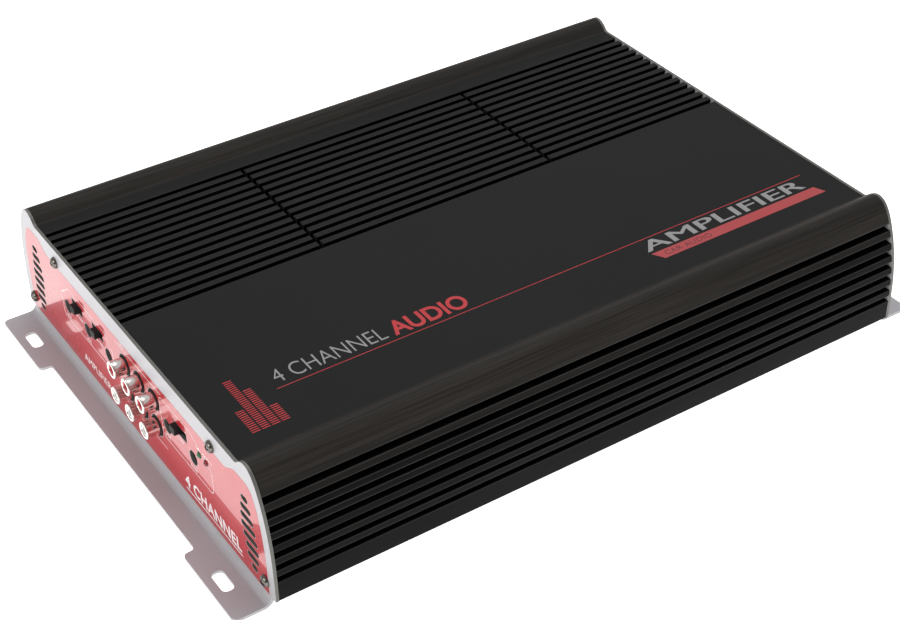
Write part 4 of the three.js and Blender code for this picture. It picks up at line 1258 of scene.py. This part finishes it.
# %% Slide switches
TAB_RIBS = 3
for w in WORDS[:3]:
    node_name = f"switch_slider_{w}"
    low, high = edges_of(node_name)
    bm = bmesh.new()
    block(bm, low, high, 0.4, 3)
    grooves = bmesh.new()
    pitch = (high.y - low.y) / (TAB_RIBS + 1)
    for k in range(TAB_RIBS):
        y = low.y + pitch * (k + 1)
        block(grooves, (low.x - 1, y - 0.22, low.z - 1), (low.x + 0.35, y + 0.22, high.z + 1))
    keep(f"switch_tab_{w}", carved(bm, grooves), black_plastic, body=node_name,
         replaces=[node_name])
    keep(f"switch_case_{w}", refined(f"switch_housing_{w}", 0.3, 2, 60), zinc_steel,
         replaces=[f"switch_housing_{w}"])

# %% Lamps
LENS = {"radius": 1.5, "flange": 1.9, "back": 5.0, "leg": 0.25, "spread": 1.0}
for node_name, colour, slot_name in (("power_lamp", green_lens, "green_lens"),
                                     ("protect_lamp", red_lens, "red_lens")):
    low, high = edges_of(node_name)
    y, z = axis_of(node_name)
    r, back, tip = LENS["radius"], LENS["back"], -END - low.x
    dome = [(r * math.cos(t), tip - r + r * math.sin(t)) for t in (math.pi / 16 * k for k in range(8))]
    profile = [(0.0, -back), (LENS["flange"], -back), (LENS["flange"], 0.9 - back), (r + 0.2, 1 - back),
               (r, 1 - back), *dome, (0.0, tip)]
    bm = bmesh.new()
    turned(bm, profile, (-END, y, z + UNDER), (-1, 0, 0), 40)
    keep(node_name.replace("lamp", "lens"), bm, colour, replaces=[node_name])
    bm = bmesh.new()
    for s in (-LENS["spread"], LENS["spread"]):
        half, middle = LENS["leg"], z + UNDER
        block(bm, (-END + back - 0.4, y + s - half, middle - half), (high.x, y + s + half, middle + half),
              0.06)
    keep(node_name.replace("lamp", "legs"), bm, tinned)

# %% [markdown]
# ## Output side
# The terminal blocks and the fuse holder are plain mouldings, so refined copies of them keep the
# exact wire openings. The metal that shows in them is added: slotted clamp screws, the cage that
# each one presses into, and the small screws in the loudspeaker wells.

# %% Mouldings of the output side
for node_name, name in (("power_terminal_block", "power_block"),
                        ("speaker_terminal_block", "speaker_block"), ("fuse_holder", "fuse_socket")):
    keep(name, refined(node_name, 0.35, 3, 50), black_plastic, replaces=[node_name])


# %% Clamp screws and cages
def slotted_screw(centre, radius, length, slot_width, slot_depth):
    """An upright grub screw whose slotted top is at the centre."""
    x, y, z = centre
    bm = bmesh.new()
    profile = [(0.0, -length), (radius - 0.3, -length), (radius, 0.4 - length), (radius, -0.25),
               (radius - 0.25, 0.0), (0.0, 0.0)]
    turned(bm, profile, centre, (0, 0, 1), 36)
    slot = bmesh.new()
    block(slot, (x - 2 * radius, y - slot_width / 2, z - slot_depth),
          (x + 2 * radius, y + slot_width / 2, z + 1))
    bm = carved(bm, slot)
    softened(bm, 0.08, 1, 50)
    return bm


def clamp_cage(bm, y, z, half, wall):
    """An open channel of sheet that lines a wire opening."""
    inner = half - wall
    top = z + half - 1
    shape = [(y - half, top), (y - half, z - half), (y + half, z - half), (y + half, top),
             (y + inner, top), (y + inner, z - inner), (y - inner, z - inner), (y - inner, top)]
    slab(bm, [[Vector(p) for p in shape]], "x", END - 4.2, END + SHEET + 9.5)


POWER_WIRE = {"half": 4.5, "height": 20.0}
for w in WORDS[:3]:
    node_name = f"power_terminal_screw_{w}"
    low, high = edges_of(node_name)
    middle = (low + high) / 2
    bm = slotted_screw((middle.x, middle.y, high.z), 3.5, high.z - low.z, 1.1, 1.6)
    keep(f"power_clamp_screw_{w}", bm, dark_nickel, body=node_name, replaces=[node_name])
    bm = bmesh.new()
    clamp_cage(bm, middle.y, POWER_WIRE["height"] + UNDER, POWER_WIRE["half"], 0.5)
    keep(f"power_clamp_cage_{w}", bm, bright_nickel)

SPEAKER = {"pitch": 9.4, "wire": 17.5, "half": 2.7, "screw": 2.1, "top": 24.4, "length": 4.0}
speaker_middle = middle_of("speaker_terminal_block").y
screw_x = middle_of("power_terminal_screw_one").x
for k, w in enumerate(WORDS):
    y = speaker_middle + (k - 3.5) * SPEAKER["pitch"]
    bm = slotted_screw((screw_x, y, SPEAKER["top"] + UNDER), SPEAKER["screw"], SPEAKER["length"], 0.7, 0.9)
    keep(f"speaker_clamp_screw_{w}", bm, dark_nickel)
    bm = bmesh.new()
    clamp_cage(bm, y, SPEAKER["wire"] + UNDER, SPEAKER["half"], 0.35)
    keep(f"speaker_clamp_cage_{w}", bm, bright_nickel)

# %% [markdown]
# ## Blade fuses
# A blade fuse is a clear coloured shell over one stamped strip of zinc: two blades, joined inside
# by the thin bow that melts. The shell is transmissive, so the bow can be seen through it.

# %% Fuses
FUSE = {"shell": 1.2, "shoulder": 6.5, "blade": 0.4, "blade_half": 2.6, "offset": 7.0}
for w in WORDS[:2]:
    node_name = f"fuse_{w}"
    low, high = edges_of(node_name)
    y, z = (low.y + high.y) / 2, (low.z + high.z) / 2
    back, shoulder = END - FUSE["shell"], END + FUSE["shoulder"]
    bm = bmesh.new()
    block(bm, (back, low.y, low.z), (shoulder, high.y, high.z), 0.5, 3)
    cap = bmesh.new()
    block(cap, (shoulder - 1.2, low.y + 0.5, low.z + 0.5), (high.x, high.y - 0.5, high.z - 0.5), 0.6, 3)
    bm = carved(bm, cap, "UNION")
    waist = bmesh.new()
    block(waist, (high.x - 1, low.y - 1, z - 2.9), (high.x + 1, high.y + 1, z + 2.9))
    keep(f"fuse_shell_{w}", carved(bm, waist), fuse_plastic, body=node_name,
         replaces=[node_name])
    bm = bmesh.new()
    for t in (-1, 1):
        middle = z + t * FUSE["offset"]
        tip = [(low.x + 0.8, middle - 1.7), (low.x, middle - 1.0), (low.x, middle + 1.0),
               (low.x + 0.8, middle + 1.7)]
        shape = [(back + 4.4, middle - 2.6), (low.x + 2.4, middle - 2.6), *tip, (low.x + 2.4, middle + 2.6),
                 (back + 4.4, middle + 2.6)]
        slab(bm, [[Vector((a, b)) for a, b in shape]], "y", y - FUSE["blade"], y + FUSE["blade"])
    bow = [(back + 3.4, z - 4.6), (back + 5.6, z - 4.0), (back + 6.4, z), (back + 5.6, z + 4.0),
           (back + 3.4, z + 4.6)]
    inner = [(a - 0.9, b * 0.9 + z * 0.1) for a, b in reversed(bow)]
    slab(bm, [[Vector(p) for p in bow + inner]], "y", y - 0.15, y + 0.15)
    keep(f"fuse_blades_{w}", bm, zinc_steel, body=node_name)
print("fuse width:", round(high.y - low.y, 1), "mm")

# %% [markdown]
# ## Circuit boards
# A board is a glass fibre sheet under a coat of solder mask. The mask is translucent, so copper
# tracks show as slightly paler lines. A brick pattern gives such orthogonal tracks, and the board's
# parts are set on it in rows, as an assembly machine does.

# %% Solder mask
material, tree, shader = start_material("green solder mask")
solder_mask = material
place = add_node(tree, "ShaderNodeTexCoord")
tracks = add_node(tree, "ShaderNodeTexBrick", {"Scale": 120.0, "Mortar Size": 0.04, "Brick Width": 0.9})
weave = group_node(tree, grain, {"Scale": 1800.0, "Depth": 2e-5})
shine = group_node(tree, gloss, {"Scale": 40.0, "Low": 0.25, "High": 0.4})
fresh = mixed(tree, weave.outputs["Mask"], (0.006, 0.05, 0.02), (0.011, 0.085, 0.034))
masked = add_node(tree, "ShaderNodeMix", data_type="RGBA")
masked.inputs["B"].default_value = (0.03, 0.16, 0.07, 1)
tree.links.new(place.outputs["Object"], tracks.inputs["Vector"])
tree.links.new(tracks.outputs["Fac"], masked.inputs["Factor"])
tree.links.new(fresh, masked.inputs["A"])
tree.links.new(masked.outputs["Result"], shader.inputs["Base Color"])
tree.links.new(shine.outputs["Roughness"], shader.inputs["Roughness"])
tree.links.new(weave.outputs["Normal"], shader.inputs["Normal"])

# %% Boards and bottom sheet
SHEETS = [("main_board", "main_circuit_board", solder_mask, "board"),
          ("panel_board", "panel_circuit_board", solder_mask, "board"),
          ("bottom_cover", "bottom_sheet", zinc_steel, "bare_steel")]
for node_name, name, finish_used, slot_name in SHEETS:
    low, high = edges_of(node_name)
    bm = bmesh.new()
    block(bm, low, high, 0.2, 2)
    keep(name, bm, finish_used, replaces=[node_name])
board_top = edges_of("main_board")[1].z


# %% Wire helper
def wire(bm, points, radius):
    """Adds a round wire along the points."""
    curve = bpy.data.curves.new("wire", "CURVE")
    curve.dimensions = "3D"
    curve.bevel_depth = radius
    curve.bevel_resolution = 1
    curve.use_fill_caps = True
    spline = curve.splines.new("POLY")
    spline.points.add(len(points) - 1)
    for point, place in zip(spline.points, points):
        point.co = (*place, 1)
    holder = bpy.data.objects.new("wire", curve)
    bpy.context.scene.collection.objects.link(holder)
    bpy.context.view_layer.update()
    mesh = bpy.data.meshes.new_from_object(holder.evaluated_get(bpy.context.evaluated_depsgraph_get()))
    bm.from_mesh(mesh)
    bpy.data.meshes.remove(mesh)
    bpy.data.objects.remove(holder)


# %% Parts on the main board
CHIPS = [(-118, -20, 10, 18), (-118, 30, 10, 18), (-86, 48, 8, 20), (-60, 48, 8, 20), (-30, 30, 12, 12)]
cases, legs = bmesh.new(), bmesh.new()
for x, y, width, length in CHIPS:
    block(cases, (x - width / 2, y - length / 2, board_top + 0.4),
          (x + width / 2, y + length / 2, board_top + 3.2), 0.3)
    for k in range(int(length / 2.54)):
        leg_y = y - length / 2 + 1.4 + k * 2.54
        for s in (-1, 1):
            root = Vector((x + s * width / 2, leg_y, board_top + 1.8))
            wire(legs, [root, root + Vector((s * 1.2, 0, 0)), root + Vector((s * 1.4, 0, -1.7))], 0.25)
keep("board_chips", cases, chip_epoxy)
RESISTORS = [Vector((-96 + 7.5 * k, -30 + 12 * (k % 2), board_top + 1.4)) for k in range(16)]
for centre in RESISTORS:
    bent = [(-4.4, -1.3), (-4.4, 0), (4.4, 0), (4.4, -1.3)]
    wire(legs, [centre + Vector((0, along, up)) for along, up in bent], 0.25)
keep("board_leads", legs, tinned)
bm = bmesh.new()
dumbbell = [(0, -3), (0.9, -3), (1.15, -2.6), (1.15, -1.9), (0.95, -1.5), (0.95, 1.5), (1.15, 1.9),
            (1.15, 2.6), (0.9, 3), (0, 3)]
for centre in RESISTORS:
    turned(bm, dumbbell, centre, (0, 1, 0), 12)
keep("board_resistors", bm, white_plastic)
bm = bmesh.new()
for x, y in ((-130, 60), (-120, 60), (-100, 10), (-88, 10), (-76, 10), (30, 60), (42, 60), (54, 60)):
    can = [(0, 0), (3.1, 0), (3.4, 0.3), (3.4, 1.2), (3.1, 1.6), (3.4, 2.0), (3.4, 7.6), (3.1, 8), (0, 8)]
    turned(bm, can, (x, y, board_top + 0.2), (0, 0, 1), 24)
keep("board_small_cans", bm, sleeve_film)
bm = bmesh.new()
panel_back = edges_of("panel_board")[1].x
block(bm, (panel_back, -30, board_top + 0.1), (panel_back + 6, 30, board_top + 8.5), 0.4)
keep("board_connector", bm, white_plastic)

# %% [markdown]
# ## Wound and tall parts
# The transformer is a ferrite ring with one heavy enamelled wire wound round it. Its path is a
# rounded loop through the ring's hole that creeps round the ring, and a curve with a bevel gives
# it thickness. The storage capacitors are cans in a shrunk sleeve with a scored aluminium top.

# %% Transformer
low, high = edges_of("transformer_core")
core = (low + high) / 2
CORE = {"outer": high.x - core.x, "inner": 14.0, "height": high.z - low.z}
bm = bmesh.new()
half = CORE["height"] / 2
section_line = rounded([(CORE["inner"], -half, 1.4), (CORE["outer"], -half, 1.4),
                        (CORE["outer"], half, 1.4), (CORE["inner"], half, 1.4)], 4)
turned(bm, section_line, core, (0, 0, 1), 64, closed=True)
keep("toroid_core", bm, ferrite_black, replaces=["transformer_core"])

WIRE = {"radius": 0.9, "away": 1.3, "turns": 34, "bare": 40.0}
loop = rounded([(CORE["outer"] + WIRE["away"], -half - WIRE["away"], 2.2),
                (CORE["outer"] + WIRE["away"], half + WIRE["away"], 2.2),
                (CORE["inner"] - WIRE["away"], half + WIRE["away"], 2.2),
                (CORE["inner"] - WIRE["away"], -half - WIRE["away"], 2.2)], 3)
path = []
covered = math.radians(360 - WIRE["bare"])
for k in range(WIRE["turns"]):
    for j, (r, z) in enumerate(loop):
        t = math.radians(WIRE["bare"] / 2) + covered * (k + j / len(loop)) / WIRE["turns"]
        path.append(core + Vector((r * math.cos(t), r * math.sin(t), z)))
bm = bmesh.new()
wire(bm, path, WIRE["radius"])
keep("toroid_turns", bm, copper_wire, replaces=["transformer_winding"])
print("wire:", round(sum((a - b).length for a, b in zip(path, path[1:])) * MM, 2), "m long")

# %% Storage capacitors
for w in WORDS[:2]:
    node_name = f"storage_capacitor_{w}"
    low, high = edges_of(node_name)
    x, y, r, tall = (low.x + high.x) / 2, (low.y + high.y) / 2, (high.x - low.x) / 2, high.z - low.z
    profile = [(0, 0.4), (r - 1.4, 0.4), (r - 1.2, 0), (r - 0.5, 0), (r, 0.5), (r, 3), (r - 0.25, 3.3),
               (r - 0.8, 3.8), (r - 0.8, 4.2), (r - 0.25, 4.7), (r, 5), (r, tall - 0.9),
               (r - 0.3, tall - 0.25), (r - 0.9, tall), (r - 2, tall), (r - 2, tall - 0.2), (0, tall - 0.2)]
    bm = bmesh.new()
    turned(bm, profile, (x, y, low.z), (0, 0, 1), 56)
    keep(f"storage_can_{w}", bm, sleeve_film, replaces=[node_name])
    bm = bmesh.new()
    turned(bm, [(0, -0.4), (r - 2.1, -0.4), (r - 2.1, 0), (0, 0)], (x, y, high.z), (0, 0, 1), 48)
    score = bmesh.new()
    for turn_by in (45, 135):
        bar = Matrix.Translation((x, y, high.z)) @ Matrix.Rotation(math.radians(turn_by), 4, "Z")
        bmesh.ops.create_cube(score, size=1, matrix=bar @ Matrix.Diagonal((1.5 * r, 0.5, 0.3, 1)))
    keep(f"storage_can_top_{w}", carved(bm, score, crossing=True), zinc_steel)

# %% Filter choke
keep("filter_choke", refined("output_inductor", 0.6, 3, 40), ferrite_black,
     replaces=["output_inductor"])

# %% [markdown]
# ## Power transistors and their clamp bars
# A row of power transistors stands along each wall, and a steel bar with three screws presses
# them flat against the aluminium, with a thin pad between. Twenty of them repeat, so each is only
# a block, a pad and three legs. The bar leaves a gap in the row for each of its screws.

# %% Clamped transistors
TRANSISTOR = {"pitch": 13.3, "width": 10.0, "low": 13.0, "high": 28.0}
for side, name in ((-1, "front"), (1, "rear")):
    node_name = f"clamp_bar_{name}"
    low, high = edges_of(node_name)
    keep(f"clamp_rail_{name}", refined(node_name, 0.4, 2, 50), zinc_steel,
         replaces=[node_name])
    wall, bar = side * (SIDE - WALL_INSET), side * max(abs(low.y), abs(high.y))
    cases, legs, pads, screws = bmesh.new(), bmesh.new(), bmesh.new(), bmesh.new()
    for k in range(-6, 7):
        x = k * TRANSISTOR["pitch"]
        if k in (-6, 0, 6):
            continue
        half = TRANSISTOR["width"] / 2
        foot, head = TRANSISTOR["low"] + UNDER, TRANSISTOR["high"] + UNDER
        ys = sorted((wall - side * 0.35, bar + side * 0.05))
        block(cases, (x - half, ys[0], foot), (x + half, ys[1], head), 0.35)
        ys = sorted((wall - side * 0.05, wall - side * 0.3))
        block(pads, (x - half - 0.8, ys[0], foot - 0.8), (x + half + 0.8, ys[1], head + 0.8))
        for s in (-2.54, 0, 2.54):
            y = (wall + bar) / 2
            wire(legs, [(x + s, y, foot + 0.2), (x + s, y, board_top - 1)], 0.4)
    head_y = side * min(abs(low.y), abs(high.y))
    for x in (-80, 0, 80):
        centre, inward = (x, head_y, (low.z + high.z) / 2), (0, -side, 0)
        dome = [(0.0, -7.5), (1.5, -7.5), (1.5, 0.0), (3.0, 0.0), (3.0, 0.7), (2.4, 1.7), (1.2, 2.0),
                (0.0, 2.0)]
        turned(screws, dome, centre, inward, 24)
    keep(f"transistors_{name}", cases, chip_epoxy)
    keep(f"transistor_legs_{name}", legs, tinned)
    keep(f"transistor_pads_{name}", pads, white_plastic)
    keep(f"clamp_rail_screws_{name}", screws, zinc_steel)

# %% [markdown]
# ## Floor and light
# The amplifier stands on a light table: a pale floor that glows from below, so that it lights the
# sides and leaves no hard shadow, under two soft lamps. The floor isn't part of the object.

# %% Floor
bm = bmesh.new()
bmesh.ops.create_grid(bm, x_segments=1, y_segments=1, size=6.0)
floor_mesh = bpy.data.meshes.new("floor")
bm.to_mesh(floor_mesh)
bm.free()
floor = bpy.data.objects.new("floor", floor_mesh)
bpy.context.scene.collection.objects.link(floor)
floor_material, tree, shader = start_material("pale floor")
shader.inputs["Base Color"].default_value = (0.5, 0.5, 0.5, 1)
shader.inputs["Roughness"].default_value = 0.9
shader.inputs["Emission Color"].default_value = (1, 1, 1, 1)
shader.inputs["Emission Strength"].default_value = 1.3
floor_mesh.materials.append(floor_material)
floor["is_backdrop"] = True


# %% Lights
def soft_light(name, place, aim, size, power):
    data = bpy.data.lights.new(name, "AREA")
    data.shape = "RECTANGLE"
    data.size, data.size_y = size
    data.energy = power
    lamp = bpy.data.objects.new(name, data)
    lamp.location = place
    lamp.rotation_euler = (Vector(aim) - Vector(place)).to_track_quat("-Z", "Y").to_euler()
    bpy.context.scene.collection.objects.link(lamp)


soft_light("overhead", (0.3, 0.25, 1.1), (0, 0.1, 0), (0.9, 0.8), 5)
soft_light("left", (-1.5, -0.3, 1.1), (0, 0, 0.03), (1.2, 0.8), 12)

# %% [markdown]
# ## The room as a gradient
# Metal shows the room it stands in. A product studio is a white sweep that is brightest near the
# horizon, dimmer overhead, and dark behind the camera, and a gradient on the world's own
# directions gives all three.

# %% World
world = bpy.data.worlds.new("world")
world.use_nodes = True
tree = world.node_tree
sky = tree.nodes["Background"]
aim = add_node(tree, "ShaderNodeTexCoord")
parts = add_node(tree, "ShaderNodeSeparateXYZ")
height = add_node(tree, "ShaderNodeMapRange",
                  {"From Min": 0.0, "From Max": 0.5, "To Min": 0.9, "To Max": 0.55})
away = add_node(tree, "ShaderNodeVectorMath", {1: (0.55, 0.83, 0.0)}, operation="DOT_PRODUCT")
behind = add_node(tree, "ShaderNodeMapRange",
                  {"From Min": -0.7, "From Max": 0.1, "To Min": 0.3, "To Max": 1.0})
both = add_node(tree, "ShaderNodeMath", operation="MULTIPLY")
tree.links.new(aim.outputs["Generated"], parts.inputs["Vector"])
tree.links.new(parts.outputs["Z"], height.inputs["Value"])
tree.links.new(aim.outputs["Generated"], away.inputs[0])
tree.links.new(away.outputs["Value"], behind.inputs["Value"])
tree.links.new(height.outputs["Result"], both.inputs[0])
tree.links.new(behind.outputs["Result"], both.inputs[1])
tree.links.new(both.outputs[0], sky.inputs["Strength"])
sky.inputs["Color"].default_value = (1.0, 0.97, 0.99, 1)
bpy.context.scene.world = world

low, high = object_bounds()
